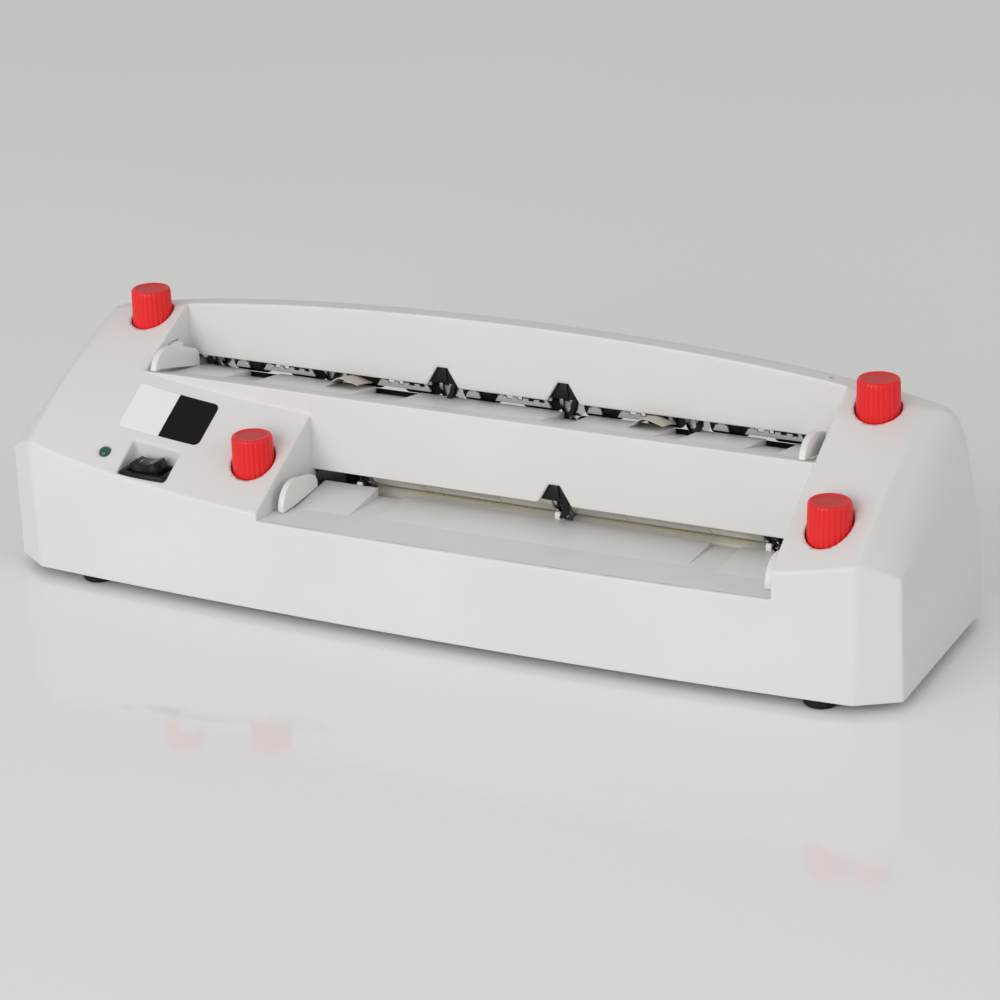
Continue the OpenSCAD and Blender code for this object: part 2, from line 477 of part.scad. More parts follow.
// a stripper's foot beside the disc, and the spring plate that closes a notch
module foot(g, y, z, h) yz(g + 3.4, g + 5.6, [[y + 2.75, z + h], [y + 2.75, z - 3.8], [y - 2.4, z - 4.5], [y - 3.2, z - 4.1], [y - 0.6, z - 2.6], [y + 2.2, z + h]]);
module stripper(g, y, z) {
  foot(g, y, z, 1.6);
  translate([g, y + 2.85, z]) rotate([90, 0, 0]) linear_extrude(0.5) polygon([[-8.8, 1.4], [-3.6, 9.8], [3.6, 9.8], [8.8, 1.4], [5.6, 0.7], [-5.6, 0.7]]);
}
module upper_strippers() color([0.06, 0.06, 0.06]) place() {
  for (i = [2, 3]) stripper(u_gut[i], rear_y, slot_top_u);
  for (i = [1, 4]) foot(u_gut[i], rear_y, slot_top_u, -0.6);
}
module lower_stripper() color([0.06, 0.06, 0.06]) place() stripper(l_mid - 0.6, step_y, slot_top_l);
// thin curled leaves that press the sheet down
module hold_down_leaves() color([0.78, 0.74, 0.68]) place() for (s = [-1, 1])
  translate([s * 71.4, 88, 71.3]) rotate([77.4, 0, 0]) linear_extrude(13)
    polygon([[-7.8, 0], [-5.3, 1.2], [-1.5, 3.8], [7.8, 1.6], [7.8, 2.2], [-1.6, 4.4], [-5.7, 1.8], [-8.1, 0.5]]);
module upper_exit_chute() color([0.25, 0.25, 0.26]) place()
  yz(-148, 148, [[105.2, 58.6], [112, 57.6], [112, 56.2], [104.8, 57]]);
module lower_exit_chute() color([0.25, 0.25, 0.26]) place() {
  yz(-61, 148, [[74, 33.8], [112.2, 25.8], [112.2, 24.5], [74, 32.6]]);
  for (x = [-40, 42, 130]) box([x - 1, 80, 2.4], [x + 1, 84, 31.6]);
}

// --- knobs, spindles and side guides ---
module knob(k) translate([k[0], k[1], k[2]]) difference() {
  rotate_extrude($fn = 72) polygon([[2.5, 0], [knob_r, 0], [knob_r - 0.35, knob_h - 1.2], [knob_r - 1.5, knob_h], [knob_r - 2.6, knob_h - 0.45], [0, knob_h - 0.45], [0, 10], [2.5, 10]]);
  for (i = [0:knob_flutes - 1]) rotate([0, 0, i * 360 / knob_flutes]) translate([knob_r + 0.62, 0, -1]) rotate([0, -1.2, 0]) cylinder(h = knob_h + 3, r = 0.95, $fn = 16);
}
module spindle(k) translate([k[0], k[1], 0]) {
  translate([0, 0, pin_z(k) - 1.5]) cylinder(h = k[2] + 10 - pin_z(k) + 1.5, r = 2.5, $fn = 32);
  translate([0, 0, pin_z(k)]) linear_extrude(gear_t) gear2d(pin_n, pin_m, k[3] * 90, 0.14);
  translate([0, 0, pin_z(k) - 1]) cylinder(h = 0.8, r = 4.3, $fn = 32);
}
// rack with straight flanks; its teeth mesh with the pinion at y = centre + 4
module rack2d(x0, x1, px, s) {
  p = PI * pin_m;
  i0 = ceil((x0 - px) / p);
  i1 = floor((x1 - px) / p);
  translate([0, s * pin_n * pin_m / 2]) scale([1, s]) union() {
    polygon([[x0, 0.62], [x1, 0.62], [x1, 6], [x0, 6]]);
    for (i = [i0:i1 - 1]) let (c = px + (i + 0.5) * p) if (c - 0.8 > x0 && c + 0.8 < x1)
      polygon([[c - 0.52, 0.7], [c - 0.17, -0.42], [c + 0.17, -0.42], [c + 0.52, 0.7]]);
  }
}
// outline of a guide fin in side view: rounded hump that leans back
function hump(y0, z0, y1, z1, h) = [for (i = [0:14]) let (a = i / 14) [
  y0 + (y1 - y0) * (1 - pow(1 - a, 1.7)), z0 + (z1 - z0) * (1 - pow(1 - a, 1.7)) + h * pow(sin(180 * pow(a, 0.62)), 0.75)]];
module fin(x0, x1, pts) translate([x0, 0, 0]) rotate([90, 0, 90]) linear_extrude(x1 - x0) offset(0.6, $fn = 12) offset(-0.6) polygon(pts);
module guide(k, fx0, fx1, pts, arm_end) {
  z = pin_z(k);
  y0 = k[1] + k[3] * 7;
  yz(fx0, fx1, pts);
  a = k[0] < 0 ? [arm_end, fx0] : [fx1, arm_end];
  translate([0, k[1], z]) linear_extrude(gear_t) rack2d(a[0] - (k[0] > 0 ? 0.5 : 0), a[1] + (k[0] < 0 ? 0.5 : 0), k[0], k[3]);
}
LOW_TOP = [[13.6, 39.8], [13.5, 42.6], [14.7, 45.7], [17, 48.6], [19.6, 50.3], [22.5, 51], [26.5, 50.8], [31, 49.8], [36.5, 48.6], [39.8, 47.6], [41.9, 45.6], [42.6, 43]];
LOW_FIN = concat(LOW_TOP, [[42.5, 41.5], [36, 40.85], [24, 39.85]]);
LOW_FIN_R = concat(LOW_TOP, [[42.5, 40.1], [24, 39.8]]);
UP_FIN = [[48.4, 80.6], [50.4, 84.4], [53.8, 87.2], [58, 88.4], [62.6, 88.1], [68, 86.4], [81, 81.4], [83.2, 80], [84, 78], [84, 72.2], [78, 73.8], [60, 78.6], [52, 80.4]];
module knob_front_left() color([0.88, 0.10, 0.10]) place() knob(K_FL);
module knob_front_right() color([0.88, 0.10, 0.10]) place() knob(K_FR);
module knob_rear_left() color([0.88, 0.10, 0.10]) place() knob(K_RL);
module knob_rear_right() color([0.88, 0.10, 0.10]) place() knob(K_RR);
module spindle_front_left() color([0.72, 0.62, 0.36]) place() spindle(K_FL);
module spindle_front_right() color([0.72, 0.62, 0.36]) place() spindle(K_FR);
module spindle_rear_left() color([0.72, 0.62, 0.36]) place() spindle(K_RL);
module spindle_rear_right() color([0.72, 0.62, 0.36]) place() spindle(K_RR);
module guide_front_left() color([0.88, 0.88, 0.87]) place() guide(K_FL, -69.2, -66.4, LOW_FIN, -100);
module guide_front_right() color([0.88, 0.88, 0.87]) place() guide(K_FR, 148.1, 150.9, LOW_FIN_R, 181);
module guide_rear_left() color([0.88, 0.88, 0.87]) place() guide(K_RL, -151.1, -148.3, UP_FIN, -183);
module guide_rear_right() color([0.88, 0.88, 0.87]) place() guide(K_RR, 148.3, 151.1, UP_FIN, 184);
// channels that carry the racks, fixed under the wells
module rack_brackets() color([0.15, 0.15, 0.16]) place() for (k = KN) {
  s = k[3];
  top = k[2] - 2.42;
  difference() {
    yz(k[0] - 8, k[0] + 8, [[k[1] - s * 5, top], [k[1] + s * 9.6, top], [k[1] + s * 11.4, top - 1.4], [k[1] + s * 11.4, k[4] - 1.4], [k[1] + s * 5.4, k[4] - 1.4],
      [k[1] + s * 5.4, k[4] - 0.25], [k[1] + s * 10.3, k[4] - 0.25], [k[1] + s * 10.3, top - 1], [k[1] - s * 5, top - 1]]);
    translate([k[0], k[1], top - 3]) cylinder(h = 5, r = 3.2, $fn = 32);
  }
}
module circuit_board() color([0.10, 0.35, 0.20]) place() {
  box([-150, 10, 8], [-100, 42, 9.6]);
  box([-146, 14, 9.6], [-134, 26, 22]);
  for (x = [-127, -117, -107]) translate([x, 30, 9.6]) cylinder(h = 12, r = 4, $fn = 32);
  box([-128, 13, 9.6], [-106, 20, 15]);
  for (p = [[-147, 13], [-103, 13], [-147, 39], [-103, 39]]) translate([p[0], p[1], 2.4]) cylinder(h = 5.6, r = 1.8, $fn = 20);
}
module power_inlet() color([0.07, 0.07, 0.07]) place() {
  difference() {
    union() {
      box([-150, 98, 16.2], [-130, 112.6, 28.8]);
      box([-154, 108.4, 14.4], [-126, 110.2, 30.6]);
    }
    for (s = [-1, 1]) translate([-140 + s * 3.4, 114, 22.5]) rotate([90, 0, 0]) cylinder(h = 10, r = 4, $fn = 32);
    box([-143.4, 104, 18.5], [-136.6, 114, 26.5]);
  }
  for (s = [-1, 1]) translate([-140 + s * 4.3, 112, 22.5]) rotate([90, 0, 0]) cylinder(h = 8.5, r = 1.15, $fn = 24);
}

top_cover();
bottom_pan();
pan_screws();
rubber_feet();
upper_feed_tray();
lower_feed_tray();
label_plate();
power_lamp();
lamp_holder();
switch_body();
switch_rocker();
left_frame();
centre_frame();
right_frame();
tie_bars();
shaft_bushes();
upper_top_shaft();
upper_top_discs();
upper_top_rollers();
upper_top_gear();
upper_bottom_shaft();
upper_bottom_discs();
upper_bottom_rollers();
upper_bottom_gear();
upper_drive_gear();
lower_top_shaft();
lower_top_discs();
lower_top_rollers();
lower_top_gear();
lower_bottom_shaft();
lower_bottom_discs();
lower_bottom_rollers();
lower_bottom_gear();
transfer_gear();
compound_gear();
gear_axles();
motor_body();
motor_bracket();
motor_spindle();
guide_comb();
upper_strippers();
lower_stripper();
hold_down_leaves();
upper_exit_chute();
lower_exit_chute();
knob_front_left();
knob_front_right();
knob_rear_left();
knob_rear_right();
spindle_front_left();
spindle_front_right();
spindle_rear_left();
spindle_rear_right();
guide_front_left();
guide_front_right();
guide_rear_left();
guide_rear_right();
rack_brackets();
circuit_board();
power_inlet();
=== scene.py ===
# Scene for the card cutter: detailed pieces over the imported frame, materials, light and camera.
import bpy, bmesh, math
import numpy as np
from mathutils import Vector, Matrix


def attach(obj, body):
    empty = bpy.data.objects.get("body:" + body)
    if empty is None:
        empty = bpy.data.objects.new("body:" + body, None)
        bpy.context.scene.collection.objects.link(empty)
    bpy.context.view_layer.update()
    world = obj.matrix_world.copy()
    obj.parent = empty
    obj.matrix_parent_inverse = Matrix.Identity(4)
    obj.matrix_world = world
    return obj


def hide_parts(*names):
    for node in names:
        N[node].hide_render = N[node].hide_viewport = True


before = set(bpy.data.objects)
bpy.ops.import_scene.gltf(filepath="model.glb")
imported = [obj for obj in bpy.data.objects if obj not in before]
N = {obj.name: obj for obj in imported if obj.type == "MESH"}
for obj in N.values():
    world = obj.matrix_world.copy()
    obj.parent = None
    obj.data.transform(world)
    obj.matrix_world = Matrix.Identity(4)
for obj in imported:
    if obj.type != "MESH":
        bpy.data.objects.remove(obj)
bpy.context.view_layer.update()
MM = 0.001

# ---------------------------------------------------------------- dimensions (mm)
# working frame: y = 0 at the middle of the front face, z = 0 at the casing's lower edge
DEP, FOOT = 112.8, 3.8
UH, LL, LR = 154.4, -72.5, 154.2
STEP, REAR = 49.5, 86.75
ULIP, LLIP = 80.2, 39.9
ST_U, ST_L = 76.4, 46.1
WALL = 2.2
UP_T = (99.1, 76.5); PD = 17.6
UP_B = (UP_T[0] - PD * 0.242, UP_T[1] - PD * 0.970)
LO_T = (62.8, 47.2)
LO_B = (LO_T[0] - PD * 0.05, LO_T[1] - PD * 0.9987)
U_GUT = [k * 57.0 for k in (-2.5, -1.5, -0.5, 0.5, 1.5, 2.5)]
L_GUT = [42 + k * 93.0 for k in (-1, 0, 1)]
KN = {"front_left": (-86.3, 24.2, 50.9, 1, 43.9), "front_right": (171.0, 23.8, 58.6, 1, 43.9),
      "rear_left": (-168.8, 80.3, 89.6, -1, 82.6), "rear_right": (169.8, 80.3, 89.6, -1, 82.6)}
KNOB_R, KNOB_H = 8.9, 17.6

def row(p):
    """Working millimetres to the row frame in metres."""
    p = np.asarray(p, dtype=float)
    q = np.empty_like(p)
    q[..., 0] = p[..., 0] * MM
    q[..., 1] = (p[..., 1] - DEP / 2) * MM
    q[..., 2] = (p[..., 2] + FOOT) * MM
    return q

# ---------------------------------------------------------------- casing surfaces
def yf(x): return 6.3 * (x / 190) ** 2
def hx(x): return 41.2 + 11.1 * (x / 190) ** 2 + 5.3 * (x / 190) ** 4
def arch(x): return 108.2 - 2.9e-4 * x * x - 2.4e-9 * x ** 4
def slope(x): return np.interp(np.abs(x), [0, 72.5, 154.4, 190], [0.58, 0.60, 0.68, 0.72])
def sag(x):
    a = np.abs(x)
    inner = np.interp(a, [0, 72.5, 150], [0.0007, 0.0007, 0.001])
    w = REAR - yf(x)
    outer = (slope(x) * w - (arch(x) - hx(x))) / w ** 2
    t = np.clip((a - 146) / 6.0, 0, 1)
    return inner * (1 - t) + outer * t
def deck(x, y):
    d = y - yf(x)
    return hx(x) + slope(x) * d - sag(x) * d * d
END_Y = ([0, 12, 23, 35, 48, 61, 74, 83, 92, 120], [112.8, 112.5, 112, 110.5, 107.2, 101.9, 96, 92.9, 91, 91])
MID_Y = ([0, 0.6, 0.75, 0.82, 0.88, 0.93, 0.97, 0.99, 1.0, 1.3], [112.8, 112.8, 112.5, 111.6, 109.7, 106.6, 101.4, 96.6, 91, 86])
def smooth_curve(xs, ys):
    """Monotone cubic table, so the back has no kinks."""
    xs = np.array(xs, float); ys = np.array(ys, float)
    h = np.diff(xs); dlt = np.diff(ys) / h
    m = np.zeros_like(ys)
    for i in range(1, len(xs) - 1):
        if dlt[i - 1] * dlt[i] > 0:
            m[i] = 2 * dlt[i - 1] * dlt[i] / (dlt[i - 1] + dlt[i])
    m[-1] = dlt[-1]; m[0] = dlt[0]
    fx = np.linspace(xs[0], xs[-1], 600)
    i = np.clip(np.searchsorted(xs, fx) - 1, 0, len(h) - 1)
    t = (fx - xs[i]) / h[i]
    fy = ((2 * t ** 3 - 3 * t ** 2 + 1) * ys[i] + (t ** 3 - 2 * t ** 2 + t) * h[i] * m[i]
          + (-2 * t ** 3 + 3 * t ** 2) * ys[i + 1] + (t ** 3 - t ** 2) * h[i] * m[i + 1])
    return fx, fy
END_T, MID_T = smooth_curve(*END_Y), smooth_curve(*MID_Y)
def back(x, z):
    w = (np.minimum(np.abs(x), 203) / 203) ** 20
    return (1 - w) * np.interp(z / arch(x), *MID_T) + w * np.interp(z, *END_T)
def side_z(y): return 49.8 + 0.286 * (y - 14.5)
def facet(x, y):
    """Bulged facet between the deck's outer crease and the end wall."""
    u = (np.abs(x) - 188.0) / 15.0
    d, s = deck(188.0, y), side_z(y)
    k = np.clip(0.95 - 0.0105 * (y - 14.5), 0.12, 0.97)
    up = np.maximum(u, 0.0)
    w = k * up + (1 - k) * up ** 3.5
    z = np.where(u > 0, d - (d - s) * w, d - k * u * (d - s))
    g = (d - s) * (k + 3.5 * (1 - k) * up ** 2.5) / 15.0
    return z, np.sqrt(1.5 + g * g)

# ---------------------------------------------------------------- distance field of the cover
def imax(a, b, r):
    """Intersection with a rounded edge of radius r."""
    u = np.maximum(a + r, 0); v = np.maximum(b + r, 0)
    return np.minimum(-r, np.maximum(a, b)) + np.sqrt(u * u + v * v)
def umin(a, b, r):
    u = np.maximum(r - a, 0); v = np.maximum(r - b, 0)
    return np.maximum(r, np.minimum(a, b)) - np.sqrt(u * u + v * v)
def cut(a, b, r): return imax(a, -b, r)
def slab(v, lo, hi): return np.maximum(lo - v, v - hi)
def boxf(x, y, z, a, b, r=0.0):
    f = slab(x, a[0], b[0])
    f = imax(f, slab(y, a[1], b[1]), r) if r else np.maximum(f, slab(y, a[1], b[1]))
    return imax(f, slab(z, a[2], b[2]), r) if r else np.maximum(f, slab(z, a[2], b[2]))

def body(x, y, z, inset=0.0):
    """The closed outer form, before the bays are cut (inset > 0 shrinks it)."""
    front = (yf(x) + 0.008 * z - y) / np.sqrt(1 + (12.6 * x / 36100) ** 2) + inset
    yc = np.minimum(y, REAR)
    top = (z - deck(x, yc)) / np.sqrt(1 + (slope(x) * 0.85) ** 2) + inset
    fz, fn = facet(x, np.minimum(y, 90.0))
    fc = (z - fz) / fn + inset
    wallb = np.maximum((z - arch(x)) + inset, (REAR - y) + (inset if inset else -6.0))
    wallb = np.maximum(wallb, np.abs(x) - (156.0 if inset else 154.39))
    side = np.abs(x) - (204 - 0.019 * z) + inset
    # chamfer between the front face and the end wall
    xa = np.abs(x)
    cham = ((xa - 187.8) * 0.545 + (6.6 - y) * 0.838) - 0.012 * z * 0.5 + inset
    b0 = back(x, z)
    bz = (back(x, z + 0.25) - back(x, z - 0.25)) / 0.5
    bx = (back(np.abs(x) + 0.2, z) - back(np.abs(x) - 0.2, z)) / 0.4
    rear = (y - b0) / np.sqrt(1 + bz * bz + bx * bx) + inset
    ro = 0.8 if inset == 0 else 0.5
    t = imax(top, fc, 0.9)
    f = imax(front, cham, 0.8)
    f = imax(f, side, 0.7)
    f = imax(f, t, ro)
    f = np.minimum(f, wallb) if inset == 0 else np.minimum(f, wallb)
    if inset == 0:
        lipb = np.minimum(boxf(x, y, z, (-155.4, STEP, 20), (155.4, REAR + 1, ULIP)),
                          boxf(x, y, z, (LL + 0.01, STEP - 5, 30), (LR - 0.01, STEP + 5, ULIP)))
        f = umin(f, lipb, 0.25)
    else:
        f = np.minimum(f, boxf(x, y, z, (-154.4, STEP + inset, 24), (154.4, REAR + inset, ULIP + 4)))
    return imax(f, rear, 2.2 if inset == 0 else 0.8)

def ufl(y): return ULIP - 0.29 * (y - STEP)
def lfl(y): return LLIP - 0.045 * (y - 2)
def ubay(x, y, z, g=0.0, r=0.0):
    f = slab(x, -UH - g, UH + g)
    f = imax(f, slab(y, STEP - 0.001, REAR + g + 0.011 * (z - ST_U)), r) if r else np.maximum(f, slab(y, STEP - 0.001, REAR + g + 0.011 * (z - ST_U)))
    return np.maximum(f, (ufl(y) - (0.9 if g else 0.0) - z) * 0.96)
def lbay(x, y, z, g=0.0):
    f = np.maximum(slab(x, LL - g, LR + g), y - (STEP + g))
    return np.maximum(f, np.where(y < 2, LLIP, lfl(y)) - (0.9 if g else 0.0) - z)
def udeep(x, y, z):
    return np.maximum(np.maximum(slab(x, -UH, UH), slab(y, STEP + WALL, REAR)), ufl(y) - 3.0 - z)
def ldeep(x, y, z):
    return np.maximum(np.maximum(slab(x, LL, LR), np.maximum(yf(x) + WALL - y, y - STEP)), lfl(y) - 3.0 - z)
def notchf(x, y, z, g, yw, zb):
    d = np.abs(x - g)
    t = (d - 7.6 + (z - zb) * 0.6) / 1.166
    return np.maximum(np.maximum(t, z - (zb + 8.5)), np.maximum(zb - 2 - z, slab(y, yw - 8, yw + 8)))
LAMP = (-152.7, 12.2)
def cutters():
    """Local cuts: (low corner, high corner, field, edge radius)."""
    c = []
    for k in KN.values():
        wf = k[2] - 0.6
        c.append(((k[0] - 11, k[1] - 11, wf - 1), (k[0] + 11, k[1] + 11, 130),
                  lambda x, y, z, k=k, wf=wf: np.maximum(np.hypot(x - k[0], y - k[1]) - KNOB_R - 0.65, wf - z), 0.55))
        c.append(((k[0] - 4, k[1] - 4, wf - 9), (k[0] + 4, k[1] + 4, wf + 2),
                  lambda x, y, z, k=k, wf=wf: np.maximum(np.hypot(x - k[0], y - k[1]) - 2.55, wf - 8 - z), 0.1))
        y0 = k[1] + k[3] * 7
        if k[2] == 50.9: a, b = LL - 4, LL + 2
        elif k[0] < 0: a, b = -UH - 4, -UH + 2
        else: a, b = UH - 2, UH + 4
        c.append((None, ((a, y0 - 3.7, k[4] - 0.4), (b, y0 + 3.7, k[4] + 3.6)), 0.0, 0.3))
    c.append((None, ((-142.9, 5.3, 48.6), (-119.6, 20.4, 80)), 1.0, 0.6))
    c.append((None, ((-141.6, 6.6, 40), (-120.9, 19.4, 52)), 0.0, 0.1))
    sn, cs = math.sin(math.radians(32)), math.cos(math.radians(32))
    lz = float(deck(np.float64(LAMP[0]), np.float64(LAMP[1])))
    def lampf(x, y, z):
        dy, dz = y - LAMP[1], z - lz
        return np.maximum(np.hypot(x - LAMP[0], cs * dy + sn * dz) - 2.55, np.abs(-sn * dy + cs * dz) - 8)
    c.append(((-156, 4, 45), (-149, 20, 66), lampf, 0.3))
    c.append((None, ((-UH + 0.01, REAR - 1, 62), (UH - 0.01, REAR + 6, ST_U)), 0.0, 0.5))
    c.append((None, ((LL + 0.01, STEP - 1, 30), (LR - 0.01, STEP + 4, ST_L)), 0.0, 0.5))
    for g, yw, zb in ((U_GUT[2], REAR, ST_U), (U_GUT[3], REAR, ST_U), (41.4, STEP, ST_L)):
        c.append(((g - 9, yw - 9, zb - 2), (g + 9, yw + 9, zb + 9),
                  lambda x, y, z, g=g, yw=yw, zb=zb: notchf(x, y, z, g, yw, zb), 0.45))
    c.append((None, ((-149, 104, 56), (149, 118, 68)), 1.5, 0.7))
    c.append((None, ((-62, 104, 24.2), (149, 118, 37.5)), 1.5, 0.7))
    c.append((None, ((-150.2, 104, 16), (-129.8, 118, 29)), 0.8, 0.3))
    for i in range(8):
        c.append((None, ((-210, 56 + i * 5, 14), (-190, 58 + i * 5, 36)), 0.9, 0.3))
    out = []
    for lo, hi, fn, r in c:
        if lo is None:
            a, b = hi
            rad = fn
            out.append((a, b, (lambda x, y, z, a=a, b=b, rad=rad: boxf(x, y, z, a, b, rad)), r))
        else:
            out.append((lo, hi, fn, r))
    return out
CUTS = cutters()
def local(f, x, y, z, lo, hi, op, pad=3.0):
    m = ((x > lo[0] - pad) & (x < hi[0] + pad) & (y > lo[1] - pad) & (y < hi[1] + pad) & (z > lo[2] - pad) & (z < hi[2] + pad))
    if m.any():
        f[m] = op(f[m], x[m], y[m], z[m])
    return f
def cover(x, y, z):
    x, y, z = np.broadcast_arrays(x, y, z)
    fb = body(x, y, z)
    f = cut(fb, ubay(x, y, z, 0.0), 0.75)
    f = cut(f, lbay(x, y, z), 0.75)
    f = cut(f, udeep(x, y, z), 0.1)
    f = cut(f, ldeep(x, y, z), 0.1)
    near = fb > -9.0
    cav = body(x, y, z, WALL)
    cav = np.maximum(cav, -ubay(x, y, z, WALL))
    cav = np.maximum(cav, -lbay(x, y, z, WALL))
    f = np.maximum(f, -cav)
    for k in KN.values():
        wf = k[2] - 0.6
        def boss(v, x, y, z, k=k, wf=wf):
            g = np.maximum(np.hypot(x - k[0], y - k[1]) - KNOB_R - 2.4, wf - 1.8 - z)
            return np.minimum(v, np.maximum(g, body(x, y, z) + 0.8))
        f = local(f, x, y, z, (k[0] - 12, k[1] - 12, wf - 3), (k[0] + 12, k[1] + 12, 130), boss)
    f = local(f, x, y, z, (-145.4, 6, 46.8), (-117.6, 22.6, 62),
              lambda v, x, y, z: np.minimum(v, np.maximum(boxf(x, y, z, (-145.4, 6, 46.8), (-117.6, 22.6, 62)), body(x, y, z) + 0.8)))
    for lo, hi, fn, r in CUTS:
        f = local(f, x, y, z, lo, hi, lambda v, x, y, z, fn=fn, r=r: cut(v, fn(x, y, z), r))
    return imax(f, 0.0 - z, 0.4)

def lines(lo, hi, base, fine):
    """Grid lines with spacing base, and finer windows [(a, b, step)]."""
    out = [lo]
    while out[-1] < hi:
        v = out[-1]
        st = base
        for a, b, s in fine:
            if a - 1e-9 <= v < b:
                st = min(st, s)
            elif v < a < v + st:
                st = max(a - v, 0.15)
        out.append(v + st)
    return np.array(out)

def gradient(func, P, e=0.03):
    g = np.empty_like(P)
    for q in range(3):
        d = np.zeros(3); d[q] = e
        A, B = P + d, P - d
        g[:, q] = (func(A[:, 0], A[:, 1], A[:, 2]) - func(B[:, 0], B[:, 1], B[:, 2])) / (2 * e)
    return g

def contour(F, gx, gy, gz, func):
    """Quads where the field changes sign. Each corner sits where the planes through the
    crossed grid edges of its cell meet, so creases and corners stay straight."""
    ins = F < 0
    shape = F.shape
    ax3 = (gx, gy, gz)
    cells = np.zeros([n - 1 for n in shape], dtype=np.int8)
    for dx in (0, 1):
        for dy in (0, 1):
            for dz in (0, 1):
                cells += ins[dx:shape[0] - 1 + dx, dy:shape[1] - 1 + dy, dz:shape[2] - 1 + dz]
    act = (cells > 0) & (cells < 8)
    ci, cj, ck = np.nonzero(act)
    n = len(ci)
    idx = -np.ones(act.shape, dtype=np.int64)
    idx[ci, cj, ck] = np.arange(n)
    A = np.zeros((n, 3, 3)); B = np.zeros((n, 3)); M = np.zeros((n, 3)); cnt = np.zeros(n)
    quads = []
    for ax in range(3):
        sl = [slice(None)] * 3; sh = [slice(None)] * 3
        sl[ax] = slice(0, -1); sh[ax] = slice(1, None)
        ijk = list(np.nonzero(ins[tuple(sl)] != ins[tuple(sh)]))
        o = [(1, 2), (2, 0), (0, 1)][ax]
        ok = np.ones(len(ijk[0]), bool)
        for q in o:
            ok &= (ijk[q] > 0) & (ijk[q] < act.shape[q])
        ijk = [v[ok] for v in ijk]
        s = ins[ijk[0], ijk[1], ijk[2]]
        up = [v.copy() for v in ijk]; up[ax] += 1
        f0 = F[ijk[0], ijk[1], ijk[2]].astype(np.float64); f1 = F[up[0], up[1], up[2]].astype(np.float64)
        a, b = ax3[ax][ijk[ax]].copy(), ax3[ax][up[ax]].copy()
        P = np.stack([ax3[q][ijk[q]] for q in range(3)], 1)
        for it in range(4):
            t = np.clip(f0 / (f0 - f1), 0.02, 0.98) if it else f0 / (f0 - f1)
            c = a + (b - a) * t
            P[:, ax] = c
            if it == 3:
                break
            fc = func(P[:, 0], P[:, 1], P[:, 2])
            left = (fc < 0) == (f0 < 0)
            a = np.where(left, c, a); f0 = np.where(left, fc, f0)
            b = np.where(left, b, c); f1 = np.where(left, f1, fc)
            bad = np.abs(f0 - f1) < 1e-9
            f1 = np.where(bad, f0 + np.where(f0 < 0, 1e-6, -1e-6), f1)
        G = gradient(func, P)
        G /= np.maximum(np.linalg.norm(G, axis=1, keepdims=True), 1e-9)
        nn = G[:, :, None] * G[:, None, :]
        nb = G * (G * P).sum(1)[:, None]
        def at(da, db):
            v = [w.copy() for w in ijk]
            v[o[0]] -= da; v[o[1]] -= db
            return idx[v[0], v[1], v[2]]
        q4 = np.stack([at(1, 1), at(0, 1), at(0, 0), at(1, 0)], 1)
        for k in range(4):
            c = q4[:, k]
            for r in range(3):
                M[:, r] += np.bincount(c, weights=P[:, r], minlength=n)
                B[:, r] += np.bincount(c, weights=nb[:, r], minlength=n)
                for w in range(3):
                    A[:, r, w] += np.bincount(c, weights=nn[:, r, w], minlength=n)
            cnt += np.bincount(c, minlength=n)
        q4 = q4.copy()
        q4[~s] = q4[~s][:, ::-1]
        quads.append(q4)
    M /= np.maximum(cnt, 1)[:, None]
    lam = 0.04
    R = B - np.einsum("nij,nj->ni", A, M)
    X = np.linalg.solve(A + lam * np.eye(3)[None], R[..., None])[..., 0]
    lo = np.stack([gx[ci], gy[cj], gz[ck]], 1); hi = np.stack([gx[ci + 1], gy[cj + 1], gz[ck + 1]], 1)
    pad = (hi - lo) * 0.12
    V = np.clip(M + X, lo - pad, hi + pad)
    for _ in range(2):
        g = gradient(func, V)
        fv = func(V[:, 0], V[:, 1], V[:, 2])
        n2 = np.maximum((g * g).sum(1), 0.3)
        st = -g * (fv / n2)[:, None]
        V = V + np.clip(st, -0.4, 0.4) * 0.9
        V = np.clip(V, lo - pad, hi + pad)
    Q = np.concatenate(quads)
    Q = Q[(Q >= 0).all(1)]
    g = gradient(func, V)
    g /= np.maximum(np.linalg.norm(g, axis=1, keepdims=True), 1e-9)
    V[:, 0] = np.clip(V[:, 0], -203.99, 203.99); V[:, 1] = np.clip(V[:, 1], 0.0, DEP); V[:, 2] = np.clip(V[:, 2], 0.0, 108.19)
    return V, Q, g

def mesh_object(name, V, F, smooth=True):
    me = bpy.data.meshes.new(name)
    me.from_pydata([tuple(v) for v in V], [], [tuple(int(i) for i in f) for f in F])
    me.update()
    o = bpy.data.objects.new(name, me)
    bpy.context.scene.collection.objects.link(o)
    if smooth:
        me.shade_smooth()
    return o

def fast_mesh(name, V, Q):
    me = bpy.data.meshes.new(name)
    me.vertices.add(len(V)); me.loops.add(Q.size); me.polygons.add(len(Q))
    me.vertices.foreach_set("co", V.astype(np.float32).ravel())
    me.loops.foreach_set("vertex_index", Q.astype(np.int32).ravel())
    me.polygons.foreach_set("loop_start", (np.arange(len(Q)) * 4).astype(np.int32))
    me.update(calc_edges=True)
    me.validate()
    o = bpy.data.objects.new(name, me)
    bpy.context.scene.collection.objects.link(o)
    me.shade_smooth()
    return o

